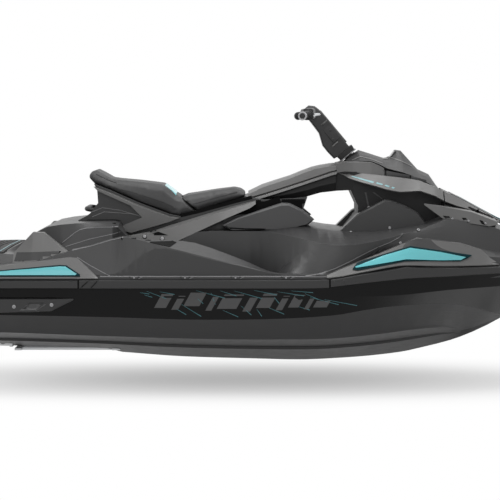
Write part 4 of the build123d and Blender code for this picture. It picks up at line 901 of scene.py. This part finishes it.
def pale_floor():
    """A wide floor that glows for the camera and fades to plain white outside an oval round the craft,
    painting out its shadow beyond that oval.
    """
    bpy.ops.object.select_all(action="DESELECT")
    bpy.ops.mesh.primitive_plane_add(size=floor_size, location=(0, 0, hull_low - floor_drop))
    floor = bpy.context.object
    floor.name = "studio_floor"
    bpy.ops.object.transform_apply(location=True, rotation=True, scale=True)
    paint = bpy.data.materials.new("studio floor white")
    paint.use_nodes = True
    tree = paint.node_tree
    body = tree.nodes["Principled BSDF"]
    body.inputs["Base Color"].default_value = (floor_grey, floor_grey, floor_grey, 1)
    body.inputs["Roughness"].default_value = 0.9
    body.inputs["Specular IOR Level"].default_value = 0.1
    seen = seen_rays(tree)
    place = put(tree, "ShaderNodeTexCoord").outputs["Object"]
    oval = put(tree, "ShaderNodeVectorMath", {0: place, 1: (fade_squash, 1.0, 1.0)},
               operation="MULTIPLY").outputs[0]
    reach = put(tree, "ShaderNodeVectorMath", {0: oval}, operation="LENGTH").outputs["Value"]
    fade = put(tree, "ShaderNodeMapRange", {0: reach, 1: fade_start, 2: fade_end},
               interpolation_type="SMOOTHSTEP").outputs[0]
    white = put(tree, "ShaderNodeEmission", {"Color": (1, 1, 1, 1), "Strength": 1.0})
    lift = put(tree, "ShaderNodeEmission", {"Color": (1, 1, 1, 1), "Strength": floor_lift})
    lifted = put(tree, "ShaderNodeAddShader", {0: body.outputs[0], 1: lift.outputs[0]})
    far_white = put(tree, "ShaderNodeMixShader", {0: fade, 1: lifted.outputs[0], 2: white.outputs[0]})
    shown = put(tree, "ShaderNodeMixShader", {0: seen, 1: body.outputs[0], 2: far_white.outputs[0]})
    tree.links.new(shown.outputs[0], tree.nodes["Material Output"].inputs["Surface"])
    floor.data.materials.append(paint)


def white_surroundings():
    world = bpy.data.worlds.new("studio")
    world.use_nodes = True
    bpy.context.scene.world = world
    tree = world.node_tree
    soft = tree.nodes["Background"]
    soft.inputs["Color"].default_value = (1, 1, 1, 1)
    soft.inputs["Strength"].default_value = soft_light
    shown = put(tree, "ShaderNodeBackground", {"Color": (1, 1, 1, 1), "Strength": 1.0})
    seen = seen_rays(tree)
    mixed = put(tree, "ShaderNodeMixShader", {0: seen, 1: soft.outputs[0], 2: shown.outputs[0]})
    tree.links.new(mixed.outputs[0], tree.nodes["World Output"].inputs["Surface"])


def softbox(name, place, aim, size, energy):
    lamp = bpy.data.lights.new(name, "AREA")
    lamp.shape, lamp.size, lamp.size_y, lamp.energy = "RECTANGLE", *size, energy
    holder = bpy.data.objects.new(name, lamp)
    bpy.context.scene.collection.objects.link(holder)
    holder.location = place
    holder.rotation_euler = (Vector(aim) - Vector(place)).to_track_quat("-Z", "Y").to_euler()


def camera(place, aim, focal, sensor=36):
    lens = bpy.data.cameras.new("camera")
    lens.lens, lens.sensor_width = focal, sensor
    holder = bpy.data.objects.new("camera", lens)
    bpy.context.scene.collection.objects.link(holder)
    holder.location = place
    holder.rotation_euler = (Vector(aim) - holder.location).to_track_quat("-Z", "Y").to_euler()
    bpy.context.scene.camera = holder


pale_floor()
white_surroundings()
softbox("overhead", (0.2, -0.3, 3.4), (0, 0, 0), (5.0, 2.4), 95)
softbox("front fill", (-1.0, -5.0, 2.6), (0, 0, 0.2), (4.0, 2.0), 30)
camera((0, -8.978, 0.888), (0, 0, 0.264), focal=138.76)
bpy.context.scene.view_settings.view_transform = "Standard"
